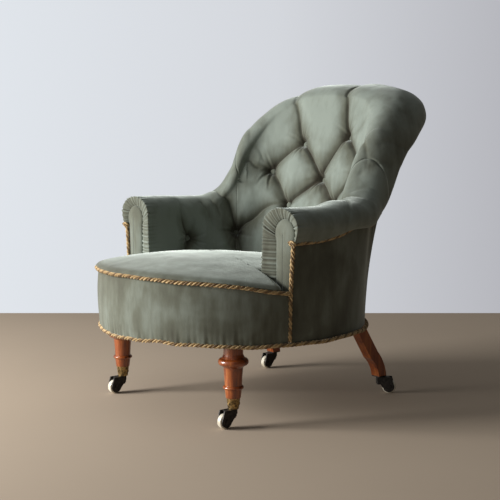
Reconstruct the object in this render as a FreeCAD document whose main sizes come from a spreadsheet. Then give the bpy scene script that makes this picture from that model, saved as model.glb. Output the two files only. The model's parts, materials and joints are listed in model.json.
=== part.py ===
import FreeCAD
import Part
import math
import os
import re
import Sketcher
from FreeCAD import Placement, Rotation, Vector

# Tub chair. Millimetres, +Z up, the front towards -Y, the floor at Z = 0.
# Shapes are made about the upright axis of the round seat, and the whole chair is moved along Y at the
# end, so that the origin lies on the floor under the middle of its outline.

doc = FreeCAD.newDocument("tub_chair")
sheet = doc.addObject("Spreadsheet::Sheet", "sizes")

# Sizes of the whole chair

SIZES = (
    ("base_radius", 350),
    ("base_height", 201),
    ("rope_diameter", 9),
    ("cover_thickness", 3.5),
    ("fit_gap", 0.3),
    ("cover_gap", 1),
    ("seat_clearance", 2),
    ("rope_clearance", 1.5),
    ("rail_bottom", 206),
    ("rail_height", 70),
    ("rail_width", 20),
    ("rail_joint_angle", 40),
    ("front_rail_angle", 124),
    ("block_width", 80),
    ("block_depth", 62),
    ("block_height", 52),
    ("post_width", 14),
    ("post_depth", 28),
    ("rod_diameter", 12),
    ("upright_diameter", 8),
    ("upright_angle", 19),
    ("seat_half_width", 240),
    ("seat_back_depth", 222),
    ("seat_crown_height", 388),
    ("seat_crown_forward", 170),
    ("seat_side_fall", 30),
    ("seat_front_fall", 29),
    ("seat_back_fall", 40),
    ("seat_cover_thickness", 25),
    ("canvas_thickness", 2),
    ("web_width", 50),
    ("web_pitch", 62),
    ("web_thickness", 1.6),
    ("cloth_thickness", 1),
    ("spring_radius", 34),
    ("spring_wire", 3.6),
    ("spring_waist_radius", 25),
    ("spring_ring", 185),
    ("pad_bottom", 283),
    ("arm_axis_height", 475),
    ("back_rise", 300),
    ("arm_roll_height", 34),
    ("crest_roll_height", 44),
    ("roll_drop", 55),
    ("lip_share", 0.6),
    ("lip_hook_share", 0.3),
    ("lip_ease", 3),
    ("rod_inset", 50),
    ("rope_inset", 10),
    ("fold_angle", 48.2),
    ("arm_front", 104),
    ("facing_front", 92),
    ("facing_thickness", 7),
    ("facing_inner", 279),
    ("facing_top", 492),
    ("button_radius", 9),
    ("button_thickness", 8),
    ("pocket_mouth", 66),
    ("pocket_depth", 88),
    ("twine_diameter", 2),
    ("front_leg_side", 235),
    ("front_leg_forward", 188),
    ("leg_neck_radius", 23.5),
    ("leg_bead_radius", 36.5),
    ("leg_taper_radius", 20.5),
    ("leg_ring_radius", 25),
    ("leg_foot_radius", 18),
    ("leg_bead_height", 158),
    ("leg_ring_height", 96),
    ("leg_ring_half", 4),
    ("leg_bead_lower", 9),
    ("leg_bead_upper", 8),
    ("leg_collar_height", 5),
    ("leg_taper_rise", 26),
    ("leg_step", 1),
    ("spigot_radius", 11),
    ("spigot_length", 38),
    ("rear_leg_side", 214),
    ("rear_leg_top_back", 235),
    ("rear_leg_knee_back", 300),
    ("rear_leg_knee_height", 107),
    ("rear_leg_bend_back", 322),
    ("rear_leg_bend_height", 77),
    ("rear_leg_foot_back", 332),
    ("rear_leg_top_width", 34),
    ("rear_leg_foot_width", 28),
    ("rear_leg_thickness", 28),
    ("knee_across_share", 0.9),
    ("knee_rise_share", 0.55),
    ("bend_rise_share", 0.45),
    ("hollow_drop_share", 0.1),
    ("leg_slot_room", 5),
    ("dowel_radius", 7),
    ("dowel_length", 60),
    ("wheel_radius", 18),
    ("wheel_width", 14),
    ("wheel_edge", 3),
    ("wheel_edge_share", 0.3),
    ("axle_radius", 2.5),
    ("axle_head", 1.5),
    ("axle_gap", 0.15),
    ("caster_trail", 27),
    ("caster_gap", 0.5),
    ("horn_top", 44),
    ("horn_plate", 5),
    ("horn_boss_radius", 8),
    ("horn_boss_bottom", 26),
    ("cheek_radius", 14.5),
    ("cheek_thickness", 3),
    ("cheek_shoulder_rise", 2),
    ("cheek_flank_drop", 5),
    ("cheek_flank_share", 0.94),
    ("pintle_radius", 4),
    ("pintle_length", 38),
    ("rivet_radius", 6),
    ("rivet_height", 3.5),
    ("cup_rim_height", 71),
    ("cup_rim_radius", 16.5),
    ("cup_foot_radius", 13),
    ("cup_wall", 1.4),
    ("cup_floor", 2.5),
    ("plate_side", 27),
    ("plate_screw_inset", 3.9),
    ("screw_radius", 1.6),
    ("screw_head_radius", 3),
    ("screw_head", 1.2),
    ("screw_length", 9),
    ("near_caster_turn", 130),
)

# The path of the roll, from the middle of the back (0 degrees) to the side (90 degrees): how far its outer
# edge overhangs the base, how high its axis is as a share of the rise of the back, and its width.

ROLL_ANGLES = (0, 14, 26, 34, 42, 50, 62, 78, 90)
ROLL_OVERHANGS = (167, 174, 174, 129, 77, 38, 26, 14, 3)
ROLL_RISES = (1.0, 0.987, 0.9, 0.75, 0.517, 0.19, 0.017, -0.007, 0)
ROLL_WIDTHS = (163, 165, 152, 116, 94, 92, 106, 111, 105)
ROLL_COLUMNS = (("overhang", ROLL_OVERHANGS), ("rise", ROLL_RISES), ("width", ROLL_WIDTHS))

# Buttons of the inside back: the side offset, the distance behind the seat axis and the height.

BACK_BUTTONS = (
    (-92, 338, 666),
    (90, 338, 685),
    (-184, 306, 588),
    (16, 334, 570),
    (186, 309, 590),
    (-94, 278, 497),
    (94, 279, 507),
    (-222, 194, 417),
    (222, 194, 417),
)
ARM_BUTTON = (270, 52, 400)


def fill_sheet():
    """Write the named sizes into the sheet, one row each."""
    rows = list(SIZES)
    for column, values in ROLL_COLUMNS:
        rows += [(f"roll_{column}_at_{angle}", value) for angle, value in zip(ROLL_ANGLES, values)]
    for row, (alias, value) in enumerate(rows, 1):
        sheet.set(f"A{row}", alias)
        sheet.set(f"B{row}", str(value))
        sheet.setAlias(f"B{row}", alias)
    doc.recompute()


fill_sheet()


def size(expression):
    """The number that an expression of named sizes gives."""
    return float(sheet.evalExpression(expression))


# Levels and radii that follow from the sizes

COVER_OUTER = "base_radius - rope_diameter / 2 - fit_gap"
COVER_INNER = f"{COVER_OUTER} - cover_thickness"
RAIL_OUTER = f"{COVER_INNER} - cover_gap"
RAIL_INNER = f"{RAIL_OUTER} - rail_width"
RAIL_TOP = "rail_bottom + rail_height"
CANVAS_TOP = f"{RAIL_TOP} + canvas_thickness"
BORDER_FRONT = "facing_front + rope_diameter + 2 * fit_gap"
CUP_BOTTOM = "horn_top + caster_gap"
FORK_HALF_WIDTH = "wheel_width / 2 + caster_gap + cheek_thickness"

cover_outer = size(COVER_OUTER)
cover_inner = size(COVER_INNER)
rail_outer = size(RAIL_OUTER)
rail_inner = size(RAIL_INNER)
rail_top = size(RAIL_TOP)
canvas_top = size(CANVAS_TOP)
fit_gap = size("fit_gap")
facing_front = size("facing_front")
rope_radius = size("rope_diameter / 2")
rod_radius = size("rod_diameter / 2")
upright_radius = size("upright_diameter / 2")
arm_front = size("arm_front")
fold_angle = size("fold_angle")

subparts = []


def subpart(item, label, place=None):
    """Keep an object as a sub-part of the chair, under the label that names its file."""
    item.Label = label
    if place is not None:
        item.Placement = place
    subparts.append(item)
    return item


def bind(item, **expressions):
    """Bind an object's sizes to the sheet."""
    for name, expression in expressions.items():
        item.setExpression(name, in_sheet(expression))
    return item


def in_sheet(expression):
    """The same expression, with each alias looked up in the sheet."""
    return re.sub(r"[a-z]\w+", r"sizes.\g<0>", expression)


def turned(angle, x=0, y=0, z=0):
    """A placement turned about Z."""
    return Placement(Vector(x, y, z), Rotation(Vector(0, 0, 1), angle))


# Sketches

def on_plane(body, role):
    """A new sketch of the body on one of its own origin planes."""
    plane = next(item for item in body.Origin.OriginFeatures if item.Role == role)
    sketch = body.newObject("Sketcher::SketchObject", f"{body.Name}_outline")
    sketch.AttachmentSupport = [(plane, "")]
    sketch.MapMode = "FlatFace"
    return sketch


def fix(sketch, item, end, where):
    """Tie one point of a sketch to a pair of expressions; a 0 puts it on the axis."""
    for direction, expression, axis in (("DistanceX", where[0], -2), ("DistanceY", where[1], -1)):
        if expression == "0":
            sketch.addConstraint(Sketcher.Constraint("PointOnObject", item, end, axis))
            continue
        constraint = Sketcher.Constraint(direction, -1, 1, item, end, size(expression))
        index = sketch.addConstraint(constraint)
        sketch.setExpression(f"Constraints[{index}]", in_sheet(expression))


def at(where):
    """The sketch point that a pair of expressions gives."""
    return Vector(size(where[0]), size(where[1]), 0)


def draw_outline(sketch, corners):
    """Draw a closed outline. A corner is (x, y), or (x, y, via_x, via_y) if an arc leads to it."""
    count = len(corners)
    ends = []
    for index in range(count):
        start = at(corners[index][:2])
        following = corners[(index + 1) % count]
        stop = at(following[:2])
        if len(following) == 4:
            via = following[2:]
            forward = (at(via) - start).cross(stop - start).z > 0
            curve = Part.Arc(start, at(via), stop) if forward else Part.Arc(stop, at(via), start)
            edge = sketch.addGeometry(curve)
            guide = sketch.addGeometry(Part.Point(at(via)), True)
            fix(sketch, guide, 1, via)
            sketch.addConstraint(Sketcher.Constraint("PointOnObject", guide, 1, edge))
        else:
            forward = True
            edge = sketch.addGeometry(Part.LineSegment(start, stop))
        ends.append((edge, 1, 2) if forward else (edge, 2, 1))
    for index, (edge, first, last) in enumerate(ends):
        following, next_first, _ = ends[(index + 1) % count]
        sketch.addConstraint(Sketcher.Constraint("Coincident", edge, last, following, next_first))
        fix(sketch, edge, first, corners[index][:2])


def turned_piece(name, corners, angle=None):
    """A body made by turning an outline in the XZ plane about the Z axis."""
    body = doc.addObject("PartDesign::Body", name)
    sketch = on_plane(body, "XZ_Plane")
    draw_outline(sketch, corners)
    turn = body.newObject("PartDesign::Revolution", f"{name}_turn")
    turn.Profile = (sketch, [""])
    turn.ReferenceAxis = (sketch, ["V_Axis"])
    if angle is not None:
        bind(turn, Angle=angle)
    return body


def sawn_piece(name, role, corners, thickness):
    """A body made by giving an outline an even thickness, half to each side of its plane."""
    body = doc.addObject("PartDesign::Body", name)
    sketch = on_plane(body, role)
    draw_outline(sketch, corners)
    pad = body.newObject("PartDesign::Pad", f"{name}_thickness")
    pad.Profile = (sketch, [""])
    pad.SideType = "Symmetric"
    bind(pad, Length=thickness)
    return body


def group(name, items):
    """Several separate solids under one name."""
    compound = doc.addObject("Part::Compound", name)
    compound.Links = items
    return compound


def cut(name, base, tool):
    """One object less another."""
    result = doc.addObject("Part::Cut", name)
    result.Base = base
    result.Tool = tool
    return result


def fused(name, items):
    """Several objects made into one."""
    result = doc.addObject("Part::MultiFuse", name)
    result.Shapes = items
    return result


def shaped(name, shape):
    """An object with a free shape."""
    item = doc.addObject("Part::Feature", name)
    item.Shape = shape
    return item


def mirrored(name, source):
    """The same piece on the other side of the chair."""
    item = doc.addObject("Part::Mirroring", name)
    item.Source = source
    item.Normal = (1, 0, 0)
    return item


def cylinder(name, radius, height, place):
    """A cylinder with bound sizes."""
    item = bind(doc.addObject("Part::Cylinder", name), Radius=radius, Height=height)
    item.Placement = place
    return item


def box(name, length, width, height, place):
    """A box with bound sizes."""
    item = bind(doc.addObject("Part::Box", name), Length=length, Width=width, Height=height)
    item.Placement = place
    return item


# Curves and lofts

def smooth(angles, values, angle):
    """A smooth curve through a column of values, level at its first angle."""
    slopes = [0.0]
    for i in range(1, len(angles) - 1):
        before = (values[i] - values[i - 1]) / (angles[i] - angles[i - 1])
        after = (values[i + 1] - values[i]) / (angles[i + 1] - angles[i])
        slopes.append((before + after) / 2)
    slopes.append(0.0)
    i = max(k for k in range(len(angles) - 1) if angles[k] <= angle)
    span = angles[i + 1] - angles[i]
    t = (angle - angles[i]) / span
    hold_start = (1 + 2 * t) * (1 - t) ** 2
    hold_end = t * t * (3 - 2 * t)
    lean_start = t * (1 - t) ** 2
    lean_end = t * t * (t - 1)
    level = hold_start * values[i] + hold_end * values[i + 1]
    return level + span * (lean_start * slopes[i] + lean_end * slopes[i + 1])


def roll_column(column, angle):
    """One column of the roll's path, at an angle from the middle of the back."""
    values = [size(f"roll_{column}_at_{known}") for known in ROLL_ANGLES]
    return smooth(ROLL_ANGLES, values, min(abs(angle), ROLL_ANGLES[-1]))


def roll_height(angle):
    """The height of the roll's axis."""
    return size("arm_axis_height") + size("back_rise") * roll_column("rise", angle)


class Station:
    """One upright section through the tub: at an angle round the back, or a distance along an arm."""

    def __init__(self, angle, advance=0.0):
        self.angle = angle
        self.advance = advance
        self.outer = size("base_radius") + roll_column("overhang", angle)
        self.inner = self.outer - roll_column("width", angle)
        self.height = roll_height(angle)
        step = 0.5
        near = roll_height(abs(angle) - step)
        far = roll_height(abs(angle) + step)
        self.slope = (far - near) / (math.radians(2 * step) * self.outer)
        self.stretch = math.hypot(1, self.slope)
        blend = math.exp(-((angle / fold_angle) ** 4))
        arm_half = size("arm_roll_height")
        crest_half = size("crest_roll_height")
        self.roll_half = (arm_half + (crest_half - arm_half) * blend) * self.stretch
        self.drop = size("roll_drop") * self.stretch
        self.rod = self.outer - size("rod_inset")
        self.lip = self.outer - size("rope_inset")
        self.lip_height = self.height - size("lip_share") * self.drop

    def point(self, radius, height):
        """The chair's point at a distance from the axis, or from the middle plane along an arm."""
        turn = math.radians(self.angle)
        side = math.copysign(1, self.angle) if self.advance else 0
        if self.advance:
            return Vector(side * radius, -self.advance, height)
        return Vector(radius * math.sin(turn), radius * math.cos(turn), height)

    def curve(self, pairs):
        """A smooth edge through pairs of distance and height."""
        spline = Part.BSplineCurve()
        spline.interpolate([self.point(*pair) for pair in pairs])
        return spline.toShape()

    def line(self, start, stop):
        """A straight edge between two pairs."""
        return Part.LineSegment(self.point(*start), self.point(*stop)).toShape()

    def base(self, radius):
        """The distance of a circle about the axis."""
        return math.sqrt(radius * radius - self.advance * self.advance)

    def seat_wall(self):
        """The distance of the inside of the tub at seat level."""
        turn = math.radians(self.angle)
        across = math.sin(turn) / size("seat_half_width")
        back = math.cos(turn) / size("seat_back_depth")
        return 1 / math.hypot(across, back)

    def frame(self, height):
        """The distance of the middle of the frame at a height."""
        foot = self.base(size(f"{RAIL_OUTER} - rail_width / 2"))
        share = (height - rail_top) / (self.height - rail_top)
        return foot + (self.rod - foot) * share ** 2

    def outside(self, height):
        """The distance of the outer cover at a height."""
        foot = self.base(cover_outer)
        share = (height - size("rail_bottom")) / (self.lip_height - size("rail_bottom"))
        return foot + (self.lip - foot) * share ** 2

    def inside(self, height):
        """The distance of the inside face of the pad at a height."""
        wall = self.seat_wall()
        seat_level = rail_top + rope_radius * 2 + size("seat_cover_thickness") * 2
        share = max(0.0, (height - seat_level) / (self.height - seat_level))
        return wall + (self.inner - wall) * share


FACE_SHARES = (0.3, 0.55, 0.8)
BACK_SHARES = (0.75, 0.5, 0.25, 0.0)


def pad_section(station):
    """The closed outline of the stuffed pad: the inside face, the roll, and the hollow round the rod."""
    bottom = size("pad_bottom")
    clear = upright_radius + size("seat_clearance")
    room = rod_radius + 2 * size("seat_clearance")
    middle = (station.inner + station.outer) / 2
    half = (station.outer - station.inner) / 2
    face = [(station.inside(bottom), bottom)]
    for share in FACE_SHARES:
        height = bottom + (station.height - bottom) * share
        face.append((station.inside(height), height))
    for turn in range(180, -1, -30):
        angle = math.radians(turn)
        height = station.height + station.roll_half * math.sin(angle)
        face.append((middle + half * math.cos(angle), height))
    hook_drop = size("lip_hook_share") * station.drop
    face.append((station.outer - size("lip_ease"), station.height - hook_drop))
    face.append((station.lip, station.lip_height))
    hook = (station.rod + room, station.lip_height + hook_drop)
    over = []
    for turn in range(0, 181, 45):
        angle = math.radians(turn)
        height = station.height + room * station.stretch * math.sin(angle)
        over.append((station.rod + room * math.cos(angle), height))
    back = [over[-1]]
    for share in BACK_SHARES:
        height = bottom + (station.height - bottom) * share
        back.append((station.frame(max(height, rail_top)) - clear, height))
    edges = [
        station.curve(face),
        station.line(face[-1], hook),
        station.line(hook, over[0]),
        station.curve(over),
        station.curve(back),
        station.line(back[-1], face[0]),
    ]
    return Part.Wire(edges)


def cover_section(station):
    """The outline of the outer cover, a thin sheet from the base rope to the rope under the roll."""
    bottom = size("rail_bottom")
    top = station.lip_height - fit_gap
    thickness = size("cover_thickness")
    heights = [bottom + (top - bottom) * share for share in (0, 0.25, 0.5, 0.75, 1)]
    outer = [(station.outside(height), height) for height in heights]
    inner = [(radius - thickness, height) for radius, height in reversed(outer)]
    edges = [
        station.curve(outer),
        station.line(outer[-1], inner[0]),
        station.curve(inner),
        station.line(inner[-1], outer[0]),
    ]
    return Part.Wire(edges)


NEARLY_STRAIGHT = 0.002
CORNER_SHARE = 0.45


def rounded_path(points):
    """Straight runs joined by the largest tangent arcs that they leave room for."""
    edges = []
    start = points[0]
    for before, corner, after in zip(points, points[1:], points[2:]):
        into = corner - before
        out = after - corner
        turn = into.getAngle(out)
        if turn < NEARLY_STRAIGHT:
            continue
        reach = CORNER_SHARE * min(into.Length, out.Length)
        first = corner - into.normalize() * reach
        last = corner + out.normalize() * reach
        bisector = (first + last) / 2 - corner
        radius = reach / math.tan(turn / 2)
        centre_distance = radius / math.cos(turn / 2)
        middle = corner + bisector.normalize() * (centre_distance - radius)
        edges.append(Part.LineSegment(start, first).toShape())
        edges.append(Part.Arc(first, middle, last).toShape())
        start = last
    edges.append(Part.LineSegment(start, points[-1]).toShape())
    return Part.Wire(edges)


def tube(points, radius):
    """A round bar or rope along a rounded path."""
    path = rounded_path(points)
    direction = points[1] - points[0]
    circle = Part.Wire(Part.Circle(points[0], direction, radius).toShape())
    return path.makePipeShell([circle], True, False)


def seat_height(x, y):
    """The height of the seat's top: a crown that falls to the sides, the front and the back."""
    forward = size("seat_crown_forward")
    side = size("seat_side_fall") * (x / size("seat_half_width")) ** 2
    if y < -forward:
        length = size("base_radius") - forward
        fall = size("seat_front_fall")
    else:
        length = size("seat_back_depth") + forward
        fall = size("seat_back_fall")
    return size("seat_crown_height") - side - fall * ((y + forward) / length) ** 2


SURFACE_STEPS = 8


def seat_surface(lower):
    """The seat's top surface, lowered by a distance."""
    reach = size("base_radius") + 2 * rope_radius
    ticks = [reach * (2 * k / SURFACE_STEPS - 1) for k in range(SURFACE_STEPS + 1)]
    rows = [[Vector(x, y, seat_height(x, y) - lower) for y in ticks] for x in ticks]
    surface = Part.BSplineSurface()
    surface.interpolate(rows)
    return surface.toShape()


def seat_plan(radius, gap):
    """The plan of the seat: round in front of the arms, and inside the tub behind them."""
    front = arm_front + gap
    side = size("seat_half_width") - gap
    back = size("seat_back_depth") - gap
    corner = math.sqrt(radius * radius - front * front)
    right_front = Vector(corner, -front, 0)
    left_front = Vector(-corner, -front, 0)
    wide = Part.Ellipse(Vector(0, 0, 0), side, back)
    edges = [
        Part.Arc(left_front, Vector(0, -radius, 0), right_front).toShape(),
        Part.LineSegment(right_front, Vector(side, -front, 0)).toShape(),
        Part.LineSegment(Vector(side, -front, 0), Vector(side, 0, 0)).toShape(),
        Part.ArcOfEllipse(wide, 0, math.pi).toShape(),
        Part.LineSegment(Vector(-side, 0, 0), Vector(-side, -front, 0)).toShape(),
        Part.LineSegment(Vector(-side, -front, 0), left_front).toShape(),
    ]
    return Part.Face(Part.Wire(edges))


# Seat frame: four curved rails with a block behind each leg

def rail(name, start, angle):
    """One curved rail of the round seat frame."""
    corners = (
        (RAIL_INNER, "rail_bottom"),
        (RAIL_OUTER, "rail_bottom"),
        (RAIL_OUTER, RAIL_TOP),
        (RAIL_INNER, RAIL_TOP),
    )
    return subpart(turned_piece(name, corners, angle), name, turned(start))


back_half = size("rail_joint_angle")
front_half = size("front_rail_angle / 2")
side_angle = "180 - rail_joint_angle - front_rail_angle / 2"
rail("seat_rail_back", 90 - back_half, "2 * rail_joint_angle")
rail("seat_rail_left", -90 + front_half, side_angle)
rail("seat_rail_right", 90 + back_half, side_angle)
rail("seat_rail_front", -90 - front_half, "front_rail_angle")


def leg_places(side, back):
    """The places of a pair of legs: left, then right."""
    return ((size(side), size(back)), (-size(side), size(back)))


front_places = leg_places("front_leg_side", "-front_leg_forward")
rear_places = leg_places("rear_leg_side", "rear_leg_top_back")
dowel_inset = (size("dowel_radius"), size("dowel_radius + 3 * fit_gap"))
dowel_places = [(x - math.copysign(dowel_inset[0], x), y - dowel_inset[1]) for x, y in rear_places]


def corner_blocks():
    """A block behind each leg, flat against the inside of the rails, bored for the leg's peg."""
    half = size("block_width / 2")
    face = math.sqrt(rail_inner ** 2 - half ** 2) - fit_gap
    blocks = []
    for index, (x, y) in enumerate(front_places + rear_places):
        angle = math.degrees(math.atan2(y, x))
        place = turned(angle).multiply(
            Placement(Vector(face - size("block_depth"), -half, size("rail_bottom")), Rotation())
        )
        name = f"block_{index}"
        blocks.append(box(name, "block_depth", "block_width", "block_height", place))
    bores = [
        cylinder(f"spigot_bore_{index}", "spigot_radius + fit_gap", "rail_bottom + spigot_length + fit_gap",
                 turned(0, x, y))
        for index, (x, y) in enumerate(front_places)
    ]
    bores += [
        cylinder(f"dowel_bore_{index}", "dowel_radius + fit_gap / 2",
                 "rail_bottom + dowel_length / 2 + fit_gap", turned(0, x, y))
        for index, (x, y) in enumerate(dowel_places)
    ]
    subpart(cut("corner_blocks", group("blocks", blocks), group("block_bores", bores)), "corner_blocks")


corner_blocks()

# Upper frame: an arm post at each side, an iron rod along the whole crest, and iron uprights

post_foot = math.sqrt(rail_outer ** 2 - size("facing_front - facing_thickness") ** 2)


def arm_post():
    """The upright that carries the front end of the rod, with a leaning outer side."""
    end = Station(90, size("facing_front - facing_thickness - post_depth"))
    post_top = end.height + rod_radius + 4 * fit_gap
    half = size("post_width / 2")
    corners = [
        Vector(post_foot - size("post_width"), 0, rail_top),
        Vector(post_foot, 0, rail_top),
        Vector(end.rod + half, 0, post_top),
        Vector(end.rod - half, 0, post_top),
    ]
    face = Part.Face(Part.makePolygon(corners + corners[:1]))
    face.translate(Vector(0, -end.advance, 0))
    return face.extrude(Vector(0, -size("post_depth - fit_gap"), 0))


post_left = subpart(shaped("post_left", arm_post()), "arm_post_left")
subpart(mirrored("post_right", post_left), "arm_post_right")

RUN_STEPS = (0, 6, 12, 16, 20, 24, 28, 32, 36, 40, 44, 48, 52, 56, 60, 66, 74, 82, 90)


def both_sides(stations):
    """The stations of one side, mirrored to run right round the tub."""
    return [Station(-item.angle, item.advance) for item in reversed(stations[1:])] + stations


def crest_rod():
    """The iron rod inside the roll, from post to post."""
    end = Station(90, size("facing_front - facing_thickness - post_depth"))
    run = [Station(angle) for angle in RUN_STEPS] + [end]
    points = [station.point(station.rod, station.height) for station in both_sides(run)]
    subpart(shaped("rod", tube(points, rod_radius)), "crest_rod")


crest_rod()
UPRIGHT_SHARES = (0, 0.1, 0.25, 0.4, 0.55, 0.7, 0.85, 1)
UPRIGHTS_EACH_SIDE = 3


def iron_uprights():
    """Bent iron bars from the rails to the rod, along the back of the stuffing."""
    bars = []
    for count in range(-UPRIGHTS_EACH_SIDE, UPRIGHTS_EACH_SIDE + 1):
        station = Station(count * size("upright_angle"))
        top = station.height - (rod_radius + upright_radius) * station.stretch - size("seat_clearance")
        foot = rail_top + fit_gap
        heights = [foot + (top - foot) * share for share in UPRIGHT_SHARES]
        points = [station.point(station.frame(height), height) for height in heights]
        bar = shaped(f"upright_{count + UPRIGHTS_EACH_SIDE}", tube(points, upright_radius))
        bars.append(bar)
    subpart(group("uprights", bars), "iron_uprights")


iron_uprights()

# Seat: webbing, springs, canvas, stuffing and cover

WEB_COUNT = 5


def webbing(name, level, along_y):
    """Parallel straps under the rails, each as long as the frame is there."""
    rail_middle = size(f"{RAIL_OUTER} - rail_width / 2")
    straps = []
    for index in range(WEB_COUNT):
        offset = (index - (WEB_COUNT - 1) / 2) * size("web_pitch")
        reach = abs(offset) + size("web_width / 2")
        half = math.sqrt(rail_middle ** 2 - reach ** 2)
        strap = bind(doc.addObject("Part::Box", f"{name}_{index}"), Width="web_width", Height="web_thickness")
        strap.Length = 2 * half
        corner = Placement(Vector(-half, offset - size("web_width / 2"), size(level)), Rotation())
        strap.Placement = turned(90 if along_y else 0).multiply(corner)
        straps.append(strap)
    subpart(group(f"{name}_straps", straps), name)


webbing("webbing_fore_aft", "rail_bottom - web_thickness", True)
webbing("webbing_cross", "rail_bottom - 2 * web_thickness", False)
SPRING_TURNS = 4
STEPS_PER_TURN = 8


def coil_spring():
    """One waisted coil spring, standing on the origin."""
    height = size(f"{RAIL_TOP} - rail_bottom - spring_wire - 2 * fit_gap")
    waist = size("spring_waist_radius")
    flare = size("spring_radius") - waist
    steps = SPRING_TURNS * STEPS_PER_TURN
    points = []
    for index in range(steps + 1):
        turn = 2 * math.pi * index / STEPS_PER_TURN
        share = index / steps
        radius = waist + flare * (2 * share - 1) ** 2
        points.append(Vector(radius * math.cos(turn), radius * math.sin(turn), height * share))
    return tube(points, size("spring_wire / 2"))


RING_SPRINGS = 8


def seat_springs():
    """Nine coil springs between the webbing and the canvas."""
    foot = size("rail_bottom + spring_wire / 2 + fit_gap")
    places = [turned(0, 0, 0, foot)]
    for index in range(RING_SPRINGS):
        turn = 2 * math.pi * (index + 0.5) / RING_SPRINGS
        away = size("spring_ring")
        places.append(turned(0, away * math.cos(turn), away * math.sin(turn), foot))
    form = coil_spring()
    springs = []
    for index, place in enumerate(places):
        spring = shaped(f"spring_{index}", form)
        spring.Placement = place
        springs.append(spring)
    subpart(group("springs", springs), "seat_springs")


seat_springs()


def spring_canvas():
    """The canvas over the springs, nailed along the inner edge of the rails and notched for the posts."""
    radius = f"{RAIL_OUTER} - rail_width / 2 - upright_diameter / 2 - seat_clearance"
    disc = cylinder("canvas_disc", radius, "canvas_thickness", turned(0, 0, 0, rail_top))
    width = "post_width + 2 * seat_clearance"
    depth = "post_depth + 2 * seat_clearance"
    middle = post_foot - size("post_width / 2")
    front = -size("facing_front - facing_thickness + seat_clearance")
    notches = [
        box(f"canvas_notch_{side + 1}", width, depth, "canvas_thickness",
            turned(0, side * middle - size(width) / 2, front, rail_top))
        for side in (-1, 1)
    ]
    subpart(cut("canvas", disc, group("canvas_notches", notches)), "spring_canvas")


spring_canvas()


def seat_layer(name, bottom, lower, thickness):
    """A layer of the seat: its plan, below the seat's surface lowered by a distance."""
    plan = seat_plan(rail_outer, size("seat_clearance"))
    plan.translate(Vector(0, 0, bottom))
    column = plan.extrude(Vector(0, 0, 2 * size("seat_crown_height")))
    layer = seat_surface(lower).extrude(Vector(0, 0, -thickness))
    subpart(shaped(f"{name}_form", column.common(layer)), name)


cover_depth = size("seat_cover_thickness")
seat_layer("seat_stuffing", canvas_top + fit_gap, cover_depth + fit_gap, size("seat_crown_height"))
seat_layer("seat_cover", 0, 0, cover_depth)


def front_border():
    """The velvet band round the front, from the base rope to the rope at the seat's edge."""
    front = size(BORDER_FRONT)
    outer = Part.makeCylinder(cover_outer, 2 * size("seat_crown_height"))
    inner = Part.makeCylinder(cover_inner, 2 * size("seat_crown_height"))
    band = outer.cut(inner)
    reach = 2 * size("base_radius")
    ahead = Part.makeBox(reach, reach, reach, Vector(-reach / 2, -reach - front, size("rail_bottom")))
    below = seat_surface(fit_gap).extrude(Vector(0, 0, -reach))
    subpart(shaped("front_border_form", band.common(ahead).common(below)), "front_border")


front_border()


def bottom_cloth():
    """The dust cloth under the webbing, with holes for the legs."""
    level = size("rail_bottom - 2 * web_thickness - cloth_thickness")
    disc = cylinder("cloth_disc", f"{RAIL_OUTER} - rail_width / 4", "cloth_thickness", turned(0, 0, 0, level))
    holes = [
        cylinder(f"cloth_hole_{index}", "leg_neck_radius + 2 * fit_gap", "rail_bottom", turned(0, x, y))
        for index, (x, y) in enumerate(front_places)
    ]
    for index, (x, y) in enumerate(rear_places):
        width = "rear_leg_thickness + 4 * fit_gap"
        depth = "rear_leg_top_width + 2 * leg_slot_room"
        corner = turned(0, x - size(width) / 2, y - size(depth) / 2)
        holes.append(box(f"cloth_slot_{index}", width, depth, "rail_bottom", corner))
    subpart(cut("cloth", disc, group("cloth_holes", holes)), "bottom_cloth")


bottom_cloth()

# Upholstery of the tub: three pads, three outer covers, two facings, the buttons


def button_place(where):
    """A placement at a button, with Z towards the axis of the seat."""
    x, y, z = where
    towards = Vector(-x, -y, 0)
    return Placement(Vector(x, y, z), Rotation(Vector(0, 0, 1), towards))


def button(name, where):
    """One covered button."""
    item = bind(doc.addObject("Part::Ellipsoid", name), Radius1="button_thickness / 2",
                Radius2="button_radius", Radius3="button_radius")
    item.Placement = button_place(where)
    return item


def twine_length(where):
    """From the back of a button to just behind the stuffing."""
    x, y, z = where
    station = Station(math.degrees(math.atan2(x, y)))
    back = station.frame(z) - upright_radius - 2 * fit_gap
    return back - math.hypot(x, y) - size("button_thickness / 2")


def twine(name, where, radius):
    """The twine that pulls a button in."""
    item = bind(doc.addObject("Part::Cylinder", name), Radius=radius)
    item.Height = twine_length(where)
    back = Placement(Vector(0, 0, -size("button_thickness / 2") - item.Height.Value), Rotation())
    item.Placement = button_place(where).multiply(back)
    return item


def pocket(name, where):
    """The hollow that a button lies in, wider towards the sitter."""
    item = bind(doc.addObject("Part::Cone", name), Radius1="button_radius + 4 * fit_gap",
                Radius2="pocket_mouth", Height="pocket_depth")
    back = Placement(Vector(0, 0, -size("button_thickness / 2")), Rotation())
    item.Placement = button_place(where).multiply(back)
    return item


def mirror_point(where):
    """The same point on the other side."""
    return (-where[0], where[1], where[2])


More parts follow.
